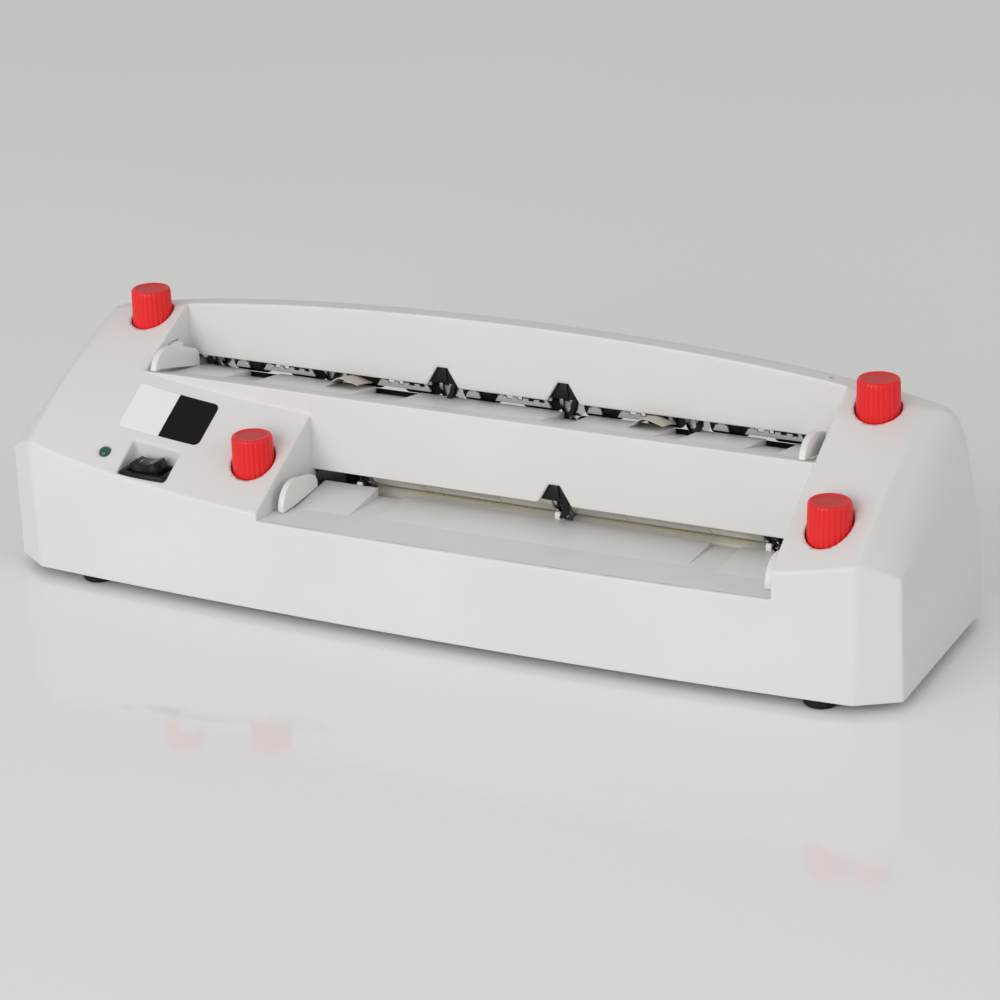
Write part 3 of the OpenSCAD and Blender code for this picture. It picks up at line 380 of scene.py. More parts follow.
def build_cover():
    q = 1.0
    fx = []
    for e in (-UH, UH, LL):
        fx.append((e - 3.4, e + 1.4, 0.62) if e < 0 else (e - 1.4, e + 3.4, 0.62))
    for k in KN.values():
        fx.append((k[0] - 11.8, k[0] + 11.8, 0.95))
    fx += [(-146.5, -116.5, 0.95), (-156.5, -149, 0.75), (-204.5, -185.5, 1.0), (185.5, 204.5, 1.0)]
    for g in (-28.5, 28.5, 41.4):
        fx.append((g - 9.2, g + 9.2, 0.9))
    fx += [(-151.4, -148.4, 0.7), (-130.8, -128.6, 0.7), (147.5, 150.5, 0.7), (-63.4, -60.4, 0.8)]
    gx = lines(-205.2, 205.2, 3.4, [(a, b, s * q) for a, b, s in fx])
    gy = lines(-1.2, 114.4, 1.5, [(a, b, s * q) for a, b, s in ((-1.2, 12, 0.85), (12, 34.5, 1.05), (34.5, STEP - 1.4, 1.3), (STEP - 1.4, STEP + 3.4, 0.6), (STEP + 3.4, 55, 1.2), (55, 92.5, 1.0), (REAR - 1.4, REAR + 3.2, 0.6), (92, 114.4, 1.2))])
    gz = lines(-1.0, 110.4, 1.7, [(a, b, s * q) for a, b, s in ((-1, 2, 0.6), (14, 18, 0.8), (24, 30, 1.0), (36, 48.5, 0.8), (48.5, 63, 1.1), (63, 74, 1.2), (74, 82.5, 0.7), (82.5, 110.4, 1.1))])
    F = np.empty((len(gx), len(gy), len(gz)), dtype=np.float32)
    Y, Z = np.meshgrid(gy, gz, indexing="ij")
    step = 24
    for i in range(0, len(gx), step):
        xs = gx[i:i + step][:, None, None]
        F[i:i + step] = cover(xs + 0 * Y[None], Y[None] + 0 * xs, Z[None] + 0 * xs)
    V, Q, G = contour(F, gx, gy, gz, cover)
    return V, Q, G, (len(gx), len(gy), len(gz))

# ---------------------------------------------------------------- materials
def new_mat(name):
    m = bpy.data.materials.new(name)
    m.use_nodes = True
    nt = m.node_tree
    for n in list(nt.nodes):
        nt.nodes.remove(n)
    out = nt.nodes.new("ShaderNodeOutputMaterial")
    b = nt.nodes.new("ShaderNodeBsdfPrincipled")
    nt.links.new(b.outputs[0], out.inputs[0])
    return m, nt, b
def noise(nt, scale, detail=3.0, rough=0.55, stretch=None, seed=0.0):
    tc = nt.nodes.new("ShaderNodeTexCoord")
    mp = nt.nodes.new("ShaderNodeMapping")
    mp.inputs["Location"].default_value = (seed, seed * 1.7, seed * 0.6)
    if stretch:
        mp.inputs["Scale"].default_value = stretch
    nz = nt.nodes.new("ShaderNodeTexNoise")
    nz.inputs["Scale"].default_value = scale
    nz.inputs["Detail"].default_value = detail
    nz.inputs["Roughness"].default_value = rough
    nt.links.new(tc.outputs["Object"], mp.inputs["Vector"])
    nt.links.new(mp.outputs[0], nz.inputs["Vector"])
    return nz.outputs["Fac"]
def remap(nt, src, lo, hi, a=0.3, b=0.7):
    r = nt.nodes.new("ShaderNodeMapRange")
    r.inputs["From Min"].default_value = a; r.inputs["From Max"].default_value = b
    r.inputs["To Min"].default_value = lo; r.inputs["To Max"].default_value = hi
    nt.links.new(src, r.inputs["Value"])
    return r.outputs[0]
def ramp(nt, src, c0, c1, p0=0.35, p1=0.65):
    r = nt.nodes.new("ShaderNodeValToRGB")
    r.color_ramp.elements[0].position = p0; r.color_ramp.elements[0].color = (*c0, 1)
    r.color_ramp.elements[1].position = p1; r.color_ramp.elements[1].color = (*c1, 1)
    nt.links.new(src, r.inputs[0])
    return r.outputs[0]
def bump(nt, b, srcs):
    prev = None
    for src, dist, strength in srcs:
        n = nt.nodes.new("ShaderNodeBump")
        n.inputs["Distance"].default_value = dist
        n.inputs["Strength"].default_value = strength
        nt.links.new(src, n.inputs["Height"])
        if prev:
            nt.links.new(prev, n.inputs["Normal"])
        prev = n.outputs[0]
    nt.links.new(prev, b.inputs["Normal"])
def plastic(name, col, rough=0.42, var=0.02, grain=2200.0, gdist=0.00002, coat=0.0, spec=0.5, seed=0.0, wide=18.0, sss=0.0):
    m, nt, b = new_mat(name)
    c0 = tuple(max(c * (1 - var), 0) for c in col); c1 = tuple(min(c * (1 + var), 1) for c in col)
    nt.links.new(ramp(nt, noise(nt, wide, 3, 0.5, seed=seed), c0, c1), b.inputs["Base Color"])
    g = noise(nt, grain, 2, 0.6, seed=seed + 3)
    nt.links.new(remap(nt, noise(nt, 60, 4, 0.6, seed=seed + 5), rough - 0.05, rough + 0.06), b.inputs["Roughness"])
    b.inputs["Specular IOR Level"].default_value = spec
    b.inputs["Coat Weight"].default_value = coat
    b.inputs["Coat Roughness"].default_value = 0.12
    if sss:
        b.inputs["Subsurface Weight"].default_value = sss
        b.inputs["Subsurface Radius"].default_value = (0.0012, 0.0008, 0.0006)
        b.inputs["Subsurface Scale"].default_value = 1.0
    bump(nt, b, [(g, gdist, 0.35), (noise(nt, 140, 3, 0.5, seed=seed + 9), gdist * 1.5, 0.18)])
    return m
def metal(name, col, rough=0.28, streak=(1.0, 90.0, 90.0), var=0.06, scale=60.0, seed=0.0, dist=0.000012):
    m, nt, b = new_mat(name)
    c0 = tuple(c * (1 - var) for c in col); c1 = tuple(min(c * (1 + var), 1) for c in col)
    st = noise(nt, scale, 4, 0.6, stretch=streak, seed=seed)
    nt.links.new(ramp(nt, st, c0, c1), b.inputs["Base Color"])
    nt.links.new(remap(nt, noise(nt, 45, 4, 0.6, seed=seed + 2), rough - 0.06, rough + 0.1), b.inputs["Roughness"])
    b.inputs["Metallic"].default_value = 1.0
    bump(nt, b, [(st, dist, 0.4)])
    return m

M_SHELL = plastic("cover_plastic", (0.775, 0.768, 0.757), rough=0.44, var=0.012, grain=2600, gdist=0.000018, seed=1.0, sss=0.03)
M_TRAY = plastic("tray_plastic", (0.73, 0.725, 0.712), rough=0.40, var=0.015, grain=2000, seed=2.0)
M_GUIDE = plastic("guide_plastic", (0.82, 0.81, 0.79), rough=0.36, var=0.012, grain=2400, seed=3.0, sss=0.05)
M_RED = plastic("knob_red", (0.85, 0.012, 0.014), rough=0.36, var=0.03, grain=1800, gdist=0.00002, seed=4.0, spec=0.45)
M_REDTOP = plastic("knob_red_top", (0.66, 0.045, 0.045), rough=0.5, var=0.03, grain=1800, gdist=0.00002, seed=4.5, spec=0.4)
M_BLACK = plastic("black_plastic", (0.009, 0.009, 0.010), rough=0.42, var=0.15, grain=1500, seed=5.0, spec=0.3)
M_SWITCH = plastic("switch_black", (0.006, 0.006, 0.007), rough=0.27, var=0.15, grain=1500, gdist=0.00001, seed=6.0, spec=0.25)
M_RUBBER = plastic("foot_rubber", (0.009, 0.009, 0.009), rough=0.72, var=0.2, grain=900, gdist=0.00006, seed=7.0, spec=0.25)
M_ROLLER = plastic("roller_rubber", (0.020, 0.020, 0.021), rough=0.66, var=0.2, grain=1100, gdist=0.00005, seed=8.0, spec=0.35)
M_COMB = plastic("comb_plastic", (0.50, 0.49, 0.50), rough=0.4, var=0.02, seed=9.0)
M_LEAF = plastic("leaf_plastic", (0.52, 0.47, 0.40), rough=0.34, var=0.03, seed=10.0)
M_CHUTE = plastic("chute_plastic", (0.05, 0.05, 0.053), rough=0.45, var=0.1, seed=11.0)
M_PAN = plastic("pan_plastic", (0.50, 0.50, 0.49), rough=0.5, var=0.02, seed=12.0)
M_GEARP = plastic("gear_acetal", (0.72, 0.69, 0.60), rough=0.35, var=0.03, seed=13.0)
M_BOARD = plastic("board_green", (0.02, 0.11, 0.05), rough=0.3, var=0.12, grain=900, seed=14.0)
M_LAMP = plastic("lamp_green", (0.004, 0.11, 0.06), rough=0.16, var=0.1, grain=900, gdist=0.000005, coat=0.5, seed=15.0)
M_LAMP.node_tree.nodes["Principled BSDF"].inputs["Transmission Weight"].default_value = 0.25
M_INK = plastic("switch_marks", (0.42, 0.42, 0.42), rough=0.5, var=0.02, seed=16.0)
M_STEEL = metal("ground_steel", (0.62, 0.625, 0.64), rough=0.26, seed=1.0)
M_DISC = metal("disc_steel", (0.70, 0.705, 0.72), rough=0.18, streak=(90.0, 6.0, 6.0), seed=2.0)
M_SLEEVE = metal("polished_sleeve", (0.80, 0.775, 0.69), rough=0.30, streak=(60.0, 4.0, 4.0), seed=3.0)
M_SLEEVE.node_tree.nodes["Principled BSDF"].inputs["Metallic"].default_value = 0.35
M_FRAME = metal("zinc_plate", (0.55, 0.56, 0.57), rough=0.38, streak=(3.0, 3.0, 3.0), scale=35, seed=4.0)
M_BRASS = metal("turned_brass", (0.66, 0.50, 0.22), rough=0.27, seed=5.0)
M_BRONZE = metal("sintered_bronze", (0.45, 0.30, 0.15), rough=0.45, streak=(1, 1, 1), scale=220, seed=6.0)
M_MOTOR = metal("motor_can", (0.42, 0.43, 0.45), rough=0.34, seed=7.0)
M_GEARS = metal("cut_steel", (0.40, 0.41, 0.43), rough=0.32, seed=8.0)

NODE_MAT = {
 "bottom_pan": M_PAN, "pan_screws": M_STEEL, "lamp_holder": M_BLACK, "left_frame": M_FRAME, "centre_frame": M_FRAME, "right_frame": M_FRAME,
 "tie_bars": M_STEEL, "shaft_bushes": M_BRONZE, "gear_axles": M_STEEL, "motor_body": M_MOTOR, "motor_bracket": M_FRAME, "motor_spindle": M_BRASS,
 "upper_exit_chute": M_CHUTE, "lower_exit_chute": M_CHUTE, "rack_brackets": M_BLACK, "circuit_board": M_BOARD, "power_inlet": M_BLACK,
 "transfer_gear": M_GEARP, "compound_gear": M_GEARP, "upper_top_gear": M_GEARP, "lower_top_gear": M_GEARP, "upper_drive_gear": M_GEARP,
 "upper_bottom_gear": M_GEARS, "lower_bottom_gear": M_GEARS, "switch_body": M_SWITCH, "switch_rocker": M_SWITCH,
 "rubber_feet": M_RUBBER, "power_lamp": M_LAMP, "label_plate": M_COMB, "guide_comb": M_COMB, "upper_strippers": M_BLACK, "lower_stripper": M_BLACK,
 "hold_down_leaves": M_LEAF, "upper_feed_tray": M_TRAY, "lower_feed_tray": M_TRAY, "top_cover": M_SHELL,
 "lower_top_rollers": M_SLEEVE, "upper_top_rollers": M_ROLLER, "upper_bottom_rollers": M_ROLLER, "lower_bottom_rollers": M_SLEEVE,
}
for n in N:
    if n.startswith("spindle_"): NODE_MAT[n] = M_BRASS
    if n.startswith("knob_"): NODE_MAT[n] = M_RED
    if n.startswith("guide_") and n != "guide_comb": NODE_MAT[n] = M_GUIDE
    if n.endswith("_shaft"): NODE_MAT[n] = M_STEEL
    if n.endswith("_discs"): NODE_MAT[n] = M_DISC
for n, o in N.items():
    o.data.materials.clear()
    o.data.materials.append(NODE_MAT[n])

# ---------------------------------------------------------------- mesh helpers
def finish_piece(o, mat, body_name, replaces=(), angle=32):
    if not o.data.materials:
        o.data.materials.append(mat)
    if angle:
        o.data.set_sharp_from_angle(angle=math.radians(angle))
    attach(o, body_name)
    if replaces:
        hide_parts(*replaces)
    return o
def bevel_bm(bm, width, segs=2, angle=30):
    es = [e for e in bm.edges if len(e.link_faces) == 2 and e.calc_face_angle(0) > math.radians(angle)]
    if es and width > 0:
        bmesh.ops.bevel(bm, geom=es, offset=width * MM, offset_type="OFFSET", segments=segs, profile=0.5, affect="EDGES", clamp_overlap=True)
def bm_object(name, bm):
    bmesh.ops.recalc_face_normals(bm, faces=bm.faces[:])
    me = bpy.data.meshes.new(name)
    bm.to_mesh(me); bm.free()
    o = bpy.data.objects.new(name, me)
    bpy.context.scene.collection.objects.link(o)
    me.shade_smooth()
    return o
def prism(bm, pts, axis, a, b):
    """Adds an extruded outline to bm. pts are the two other coordinates in order; axis is 0, 1 or 2."""
    def put(u, v, w):
        p = {0: (w, u, v), 1: (u, w, v), 2: (u, v, w)}[axis]
        return bm.verts.new(tuple(row(p)))
    lo = [put(u, v, a) for u, v in pts]; hi = [put(u, v, b) for u, v in pts]
    n = len(pts)
    bm.faces.new(lo); bm.faces.new(hi[::-1])
    for i in range(n):
        j = (i + 1) % n
        bm.faces.new((lo[i], hi[i], hi[j], lo[j]))
def part(name, prisms, width=0.25, segs=2, angle=30):
    """One mesh of several bevelled prisms: [(axis, outline, a, b)]."""
    full = bmesh.new()
    for axis, pts, a, b in prisms:
        bm = bmesh.new()
        prism(bm, pts, axis, a, b)
        bmesh.ops.recalc_face_normals(bm, faces=bm.faces[:])
        bevel_bm(bm, width, segs, angle)
        tmp = bpy.data.meshes.new("t"); bm.to_mesh(tmp); bm.free()
        full.from_mesh(tmp); bpy.data.meshes.remove(tmp)
    return bm_object(name, full)
def lathe(bm, prof, origin, axis, seg=72):
    """Revolves a closed or open profile [(radius, along)] about an axis through origin (mm)."""
    o = np.array(origin, float)
    ax = {"x": ((0, 1, 0), (0, 0, 1), (1, 0, 0)), "z": ((1, 0, 0), (0, 1, 0), (0, 0, 1))}[axis] if isinstance(axis, str) else axis
    u, v, w = [np.array(t, float) for t in ax]
    rings = []
    for r, h in prof:
        if r < 1e-6:
            rings.append([bm.verts.new(tuple(row(o + w * h)))])
        else:
            rings.append([bm.verts.new(tuple(row(o + w * h + r * (math.cos(2 * math.pi * i / seg) * u + math.sin(2 * math.pi * i / seg) * v)))) for i in range(seg)])
    for A, B in zip(rings, rings[1:]):
        if len(A) == 1 and len(B) == 1:
            continue
        for i in range(seg):
            j = (i + 1) % seg
            if len(A) == 1: bm.faces.new((A[0], B[j], B[i]))
            elif len(B) == 1: bm.faces.new((A[i], A[j], B[0]))
            else: bm.faces.new((A[i], A[j], B[j], B[i]))
def ring_prof(r, ri, x0, x1, c=0.25):
    c = min(c, (x1 - x0) * 0.3)
    k = c * 0.3
    return [(ri, x0), (r - c, x0), (r - k, x0 + k), (r, x0 + c), (r, x1 - c), (r - k, x1 - k), (r - c, x1), (ri, x1), (ri, x0)]
def lathes(name, items, axis="x", seg=72):
    bm = bmesh.new()
    for prof, origin in items:
        lathe(bm, prof, origin, axis, seg)
    bmesh.ops.remove_doubles(bm, verts=bm.verts[:], dist=1e-7)
    return bm_object(name, bm)
def spline(pts, n=8, closed=False):
    """Catmull-Rom through the points."""
    P = np.array(pts, float); out = []
    m = len(P)
    rng = range(m) if closed else range(m - 1)
    for i in rng:
        p0 = P[(i - 1) % m] if closed or i > 0 else 2 * P[0] - P[1]
        p1, p2 = P[i], P[(i + 1) % m]
        p3 = P[(i + 2) % m] if closed or i + 2 < m else 2 * P[-1] - P[-2]
        for t in np.linspace(0, 1, n, endpoint=False):
            out.append(0.5 * ((2 * p1) + (-p0 + p2) * t + (2 * p0 - 5 * p1 + 4 * p2 - p3) * t * t + (-p0 + 3 * p1 - 3 * p2 + p3) * t ** 3))
    if not closed:
        out.append(P[-1])
    return [tuple(p) for p in out]

# ---------------------------------------------------------------- cover
V, Q, G, _n = build_cover()
shell = fast_mesh("cover_shell", row(V), Q)
shell.data.normals_split_custom_set_from_vertices([tuple(g) for g in G])
finish_piece(shell, M_SHELL, "casing", ("top_cover",), angle=0)

# ---------------------------------------------------------------- feed trays
uf, lf = (lambda y: ULIP - 0.29 * (y - STEP)), (lambda y: LLIP - 0.045 * (y - 2))
tray = [(0, [(STEP + 2.26, uf(STEP + 2.26) - 0.04), (87.6, uf(87.6)), (87.6, uf(87.6) - 2.2), (STEP + 2.26, uf(STEP) - 3)], -UH + 0.06, UH - 0.06)]
def plates(spans, y0, y1, f0, z1, thick):
    """Raised plates that start flush with the floor and climb to the throat."""
    out = []
    for a, b in spans:
        out.append((0, [(y0, f0(y0) - 0.02), (y1, z1), (y1, z1 - thick), (y0, f0(y0) - 1.0)], a, b))
    return out
tray += plates([(-UH + 5.5, -125), (-110, -62), (-40, 28), (40, 79), (90, 119), (133, UH - 5.5)], 64, 88.7, uf, 71.75, 3.4)
o = part("upper_tray_plate", tray, 0.22, 2)
finish_piece(o, M_TRAY, "casing", ("upper_feed_tray",))

def lower_tray():
    bm = bmesh.new()
    xs = list(np.linspace(LL + 0.06, LR - 0.06, 48))
    prof = lambda x: [(yf(x) + 2.26, LLIP - 0.06), (yf(x) + 2.5, LLIP + 0.0), (50.5, lf(50.5)), (50.5, lf(50.5) - 2.2), (yf(x) + 2.26, LLIP - 2.3)]
    rings = [[bm.verts.new(tuple(row((x, y, z)))) for y, z in prof(x)] for x in xs]
    for A, B in zip(rings, rings[1:]):
        for i in range(5):
            j = (i + 1) % 5
            bm.faces.new((A[i], B[i], B[j], A[j]))
    bm.faces.new(rings[0]); bm.faces.new(rings[-1][::-1])
    for axis, pts, a, b in (plates([(LL + 5.9, -41.0)], 22.3, 49.2, lf, 42.0, 4.6) + plates([(-29.2, 110.4)], 24, 51.0, lf, 39.6, 2.6) + plates([(123.5, LR - 5)], 22, 51.0, lf, 39.6, 2.6)):
        b2 = bmesh.new(); prism(b2, pts, axis, a, b); bmesh.ops.recalc_face_normals(b2, faces=b2.faces[:]); bevel_bm(b2, 0.22, 2)
        tmp = bpy.data.meshes.new("t"); b2.to_mesh(tmp); b2.free(); bm.from_mesh(tmp); bpy.data.meshes.remove(tmp)
    return bm_object("lower_tray_plate", bm)
finish_piece(lower_tray(), M_TRAY, "casing", ("lower_feed_tray",))

# ---------------------------------------------------------------- knobs
def knob(name, k):
    x0, y0, z0 = k[0], k[1], k[2]
    bm = bmesh.new()
    nf, per = 24, 10
    seg = nf * per
    prof = [(2.6, 0.0, 0), (7.9, 0.0, 0), (8.55, 0.12, 0.2), (8.85, 0.55, 0.8), (8.9, 1.2, 1), (8.82, 6.0, 1), (8.74, 11.0, 1), (8.66, 15.2, 1),
            (8.62, 16.1, 0.85), (8.5, 16.75, 0.5), (8.22, 17.25, 0.15), (7.85, 17.5, 0), (7.4, 17.56, 0), (7.05, 17.5, 0), (6.85, 17.3, 0), (6.7, 17.12, 0), (6.4, 17.02, 0), (4.5, 16.96, 0), (2.0, 16.92, 0), (0.0, 16.92, 0)]
    rings = []
    for r, h, fl in prof:
        if r == 0:
            rings.append([bm.verts.new(tuple(row((x0, y0, z0 + h))))]); continue
        ring = []
        for i in range(seg):
            t = (i % per) / per
            # flat crest with a rounded groove between the flutes
            g = max(0.0, math.cos(2 * math.pi * (t - 0.5)) - 0.12) / 0.88
            rr = r - 0.36 * fl * (g ** 0.9)
            a = 2 * math.pi * i / seg
            ring.append(bm.verts.new(tuple(row((x0 + rr * math.cos(a), y0 + rr * math.sin(a), z0 + h)))))
        rings.append(ring)
    for A, B in zip(rings, rings[1:]):
        for i in range(seg):
            j = (i + 1) % seg
            if len(B) == 1: bm.faces.new((A[i], A[j], B[0]))
            else: bm.faces.new((A[i], A[j], B[j], B[i]))
    lathe(bm, [(2.6, 0.0), (2.6, 9.9), (0, 9.9)], (x0, y0, z0), "z", 48)
    o = bm_object(name, bm)
    o.data.materials.append(M_RED); o.data.materials.append(M_REDTOP)
    zt = (z0 + 17.3 + FOOT) * MM
    for p in o.data.polygons:
        c = p.center
        if math.hypot(c.x - x0 * MM, c.y - (y0 - DEP / 2) * MM) < 6.9 * MM and c.z > (z0 + 15 + FOOT) * MM:
            p.material_index = 1
    return o
for p, k in KN.items():
    o = knob("knob_cap_" + p, k)
    finish_piece(o, M_RED, "knob_unit_" + p, ("knob_" + p,), angle=50)

# ---------------------------------------------------------------- side guides: fin, arm and rack
LOW_FIN = [(13.6, 39.8), (13.5, 42.6), (14.7, 45.7), (17, 48.6), (19.6, 50.3), (22.5, 51.0), (26.5, 50.8), (31, 49.8), (36.5, 48.6), (39.8, 47.6), (41.9, 45.6), (42.6, 43.0)]
UP_FIN = [(48.6, 80.8), (50.2, 84.3), (53.4, 87.1), (57.8, 88.4), (62.6, 88.1), (68.5, 86.2), (75, 83.8), (81, 81.3), (83.3, 79.6), (84.1, 77.2)]
def guide(name, k, fx, outline, under, arm_end):
    bm = bmesh.new()
    pts = spline(outline, 6) + under
    prism(bm, pts, 0, fx[0], fx[1])
    bmesh.ops.recalc_face_normals(bm, faces=bm.faces[:])
    bevel_bm(bm, 0.75, 4, 55)
    z0 = k[4]; s = k[3]
    pl = k[1] + s * 4.0
    a, b = (arm_end, fx[0] + 0.3) if k[0] < 0 else (fx[1] - 0.3, arm_end)
    b2 = bmesh.new()
    y1, y2 = sorted((pl + s * 0.62, pl + s * 6.0))
    prism(b2, [(y1, z0), (y2, z0), (y2, z0 + 3.2), (y1, z0 + 3.2)], 0, a, b)
    bmesh.ops.recalc_face_normals(b2, faces=b2.faces[:]); bevel_bm(b2, 0.25, 2)
    tmp = bpy.data.meshes.new("t"); b2.to_mesh(tmp); b2.free(); bm.from_mesh(tmp)
    b3 = bmesh.new()
    p = math.pi * 0.5
    i0, i1 = math.ceil((a - k[0]) / p), math.floor((b - k[0]) / p)
    for i in range(i0, i1):
        c = k[0] + (i + 0.5) * p
        if c - 0.8 > a and c + 0.8 < b:
            q = [(c - 0.52, pl + s * 0.7), (c - 0.17, pl - s * 0.42), (c + 0.17, pl - s * 0.42), (c + 0.52, pl + s * 0.7)]
            prism(b3, q, 2, z0, z0 + 3.2)
    b3.to_mesh(tmp); b3.free(); bm.from_mesh(tmp); bpy.data.meshes.remove(tmp)
    return bm_object(name, bm)
LOW_UNDER = [(42.5, 41.5), (36, 40.85), (24, 39.85)]
LOW_UNDER_R = [(42.5, 40.1), (24, 39.8)]
UP_UNDER = [(84.1, 72.3), (78, 73.9), (60, 78.7), (52, 80.5)]
GD = {"front_left": ((-69.2, -66.4), LOW_FIN, LOW_UNDER, -100), "front_right": ((148.1, 150.9), LOW_FIN, LOW_UNDER_R, 181),
      "rear_left": ((-151.1, -148.3), UP_FIN, UP_UNDER, -183), "rear_right": ((148.3, 151.1), UP_FIN, UP_UNDER, 184)}
for p, (fx, ol, un, ae) in GD.items():
    o = guide("side_guide_" + p, KN[p], fx, ol, un, ae)
    finish_piece(o, M_GUIDE, "guide_unit_" + p, ("guide_" + p,), angle=38)

# ---------------------------------------------------------------- shafts, discs, rollers
def cyl_prof(r, x0, x1, c=0.5):
    return [(0, x0), (r - c, x0), (r, x0 + c), (r, x1 - c), (r - c, x1), (0, x1)]
def shaft(name, p, x0, x1, c0, c1, node, body_name):
    it = [(cyl_prof(4.0, x0, x1), (0, p[0], p[1]))]
    for c in (c0, c1):
        it.append((ring_prof(5.6, 3.98, c - 1.5, c + 1.5, 0.3), (0, p[0], p[1])))
    o = lathes(name, it, "x", 64)
    finish_piece(o, M_STEEL, body_name, (node,))
shaft("upper_top_axle", UP_T, -163, 168.6, -155.3, 155.3, "upper_top_shaft", "upper_top_unit")
shaft("upper_bottom_axle", UP_B, -169.6, 176.4, -155.3, 155.3, "upper_bottom_shaft", "upper_bottom_unit")
shaft("lower_top_axle", LO_T, -81, 168.6, -73.1, 155.3, "lower_top_shaft", "lower_top_unit")
shaft("lower_bottom_axle", LO_B, -81, 176.4, -73.1, 155.3, "lower_bottom_shaft", "lower_bottom_unit")
RR = PD / 2 - 0.2
def rings(name, p, spans, r, mat, node, body_name, slot, c=0.2, seg=96):
    it = [(ring_prof(r, 4.0, a, b, c), (0, p[0], p[1])) for a, b in spans]
    finish_piece(lathes(name, it, "x", seg), mat, body_name, (node,))
def pair_spans(gs): return [(g + s * 2.3 - 0.8, g + s * 2.3 + 0.8) for g in gs for s in (-1, 1)]
def gut_spans(gs): return [(g - 1.2, g + 1.2) for g in gs]
rings("upper_top_blades", UP_T, pair_spans(U_GUT), 9.2, M_DISC, "upper_top_discs", "upper_top_unit", "discs", 0.12)
rings("upper_bottom_blades", UP_B, gut_spans(U_GUT), 9.2, M_DISC, "upper_bottom_discs", "upper_bottom_unit", "discs", 0.12)
rings("lower_top_blades", LO_T, pair_spans(L_GUT), 9.2, M_DISC, "lower_top_discs", "lower_top_unit", "discs", 0.12)
rings("lower_bottom_blades", LO_B, gut_spans(L_GUT), 9.2, M_DISC, "lower_bottom_discs", "lower_bottom_unit", "discs", 0.12)
mid = [(U_GUT[i] + U_GUT[i + 1]) / 2 for i in range(5)]
rings("upper_top_rubbers", UP_T, [(c + s * 14 - 7, c + s * 14 + 7) for c in mid for s in (-1, 1)], RR, M_ROLLER, "upper_top_rollers", "upper_top_unit", "rubber_rollers", 0.5)
rings("upper_bottom_rubbers", UP_B, [(U_GUT[i] + 3.4, U_GUT[i + 1] - 3.4) for i in range(5)], RR, M_ROLLER, "upper_bottom_rollers", "upper_bottom_unit", "rubber_rollers", 0.5)
rings("lower_bottom_sleeves", LO_B, [(L_GUT[i] + 3.4, L_GUT[i + 1] - 3.4) for i in range(2)], RR, M_SLEEVE, "lower_bottom_rollers", "lower_bottom_unit", "sleeves", 0.35, 120)
# polished sleeves of the lower unit, with the fine joints between their sections
spans = []
for a, b in ((L_GUT[0] + 4.2, L_GUT[1] - 4.2), (L_GUT[1] + 4.2, L_GUT[2] - 4.2)):
    cutsx = [a] + [c for c in (-22.0, 13.0, 71.0, 108.0) if a < c < b] + [b]
    spans += [(u + (0.08 if i else 0), v - 0.08) for i, (u, v) in enumerate(zip(cutsx, cutsx[1:]))]
rings("lower_top_sleeves", LO_T, spans, RR, M_SLEEVE, "lower_top_rollers", "lower_top_unit", "sleeves", 0.35, 120)

# ---------------------------------------------------------------- rocker switch
SWX, SWY = -131.25, 12.85
def rrect(cx, cy, hw, hh, r, n=6):
    out = []
    for sx, sy, a0 in ((1, 1, 0), (-1, 1, 90), (-1, -1, 180), (1, -1, 270)):
        for i in range(n + 1):
            a = math.radians(a0 + 90 * i / n)
            out.append((cx + sx * (hw - r) + r * math.cos(a), cy + sy * (hh - r) + r * math.sin(a)))
    return out
def ring_frame(name, loops, closed=True):
    """Skin through a list of equal-length loops of 3-D points (mm)."""
    bm = bmesh.new()
    L = [[bm.verts.new(tuple(row(p))) for p in lp] for lp in loops]
    seq = list(zip(L, L[1:] + ([L[0]] if closed else [])))
    if not closed:
        seq = list(zip(L, L[1:]))
        bm.faces.new(L[0][::-1]); bm.faces.new(L[-1])
    for A, B in seq:
        n = len(A)
        for i in range(n):
            j = (i + 1) % n
            bm.faces.new((A[i], A[j], B[j], B[i]))
    return bm_object(name, bm)
loops = []
for d, z in ((0.0, 48.65), (0.0, 50.0), (0.12, 50.45), (0.4, 50.78), (0.8, 50.9), (2.0, 50.82), (2.35, 50.7), (2.55, 50.4), (2.6, 49.9), (2.6, 42.5), (1.3, 42.5), (1.3, 48.65)):
    hw, hh = 11.35 - d, 7.25 - d
    loops.append([(u, v, z) for u, v in rrect(SWX, SWY, hw, hh, max(1.5 - d * 0.5, 0.35))])
finish_piece(ring_frame("switch_frame", loops), M_SWITCH, "casing", ("switch_body",), angle=40)
o = part("switch_base", [(2, rrect(SWX, SWY, 10.1, 6.2, 0.6, 2), 36, 44)] + [(2, [(x - 0.4, 10.6), (x + 0.4, 10.6), (x + 0.4, 15.4), (x - 0.4, 15.4)], 29, 36.5) for x in (-138, -132, -126)], 0.2, 1)
finish_piece(o, M_SWITCH, "casing", ("switch_body",))

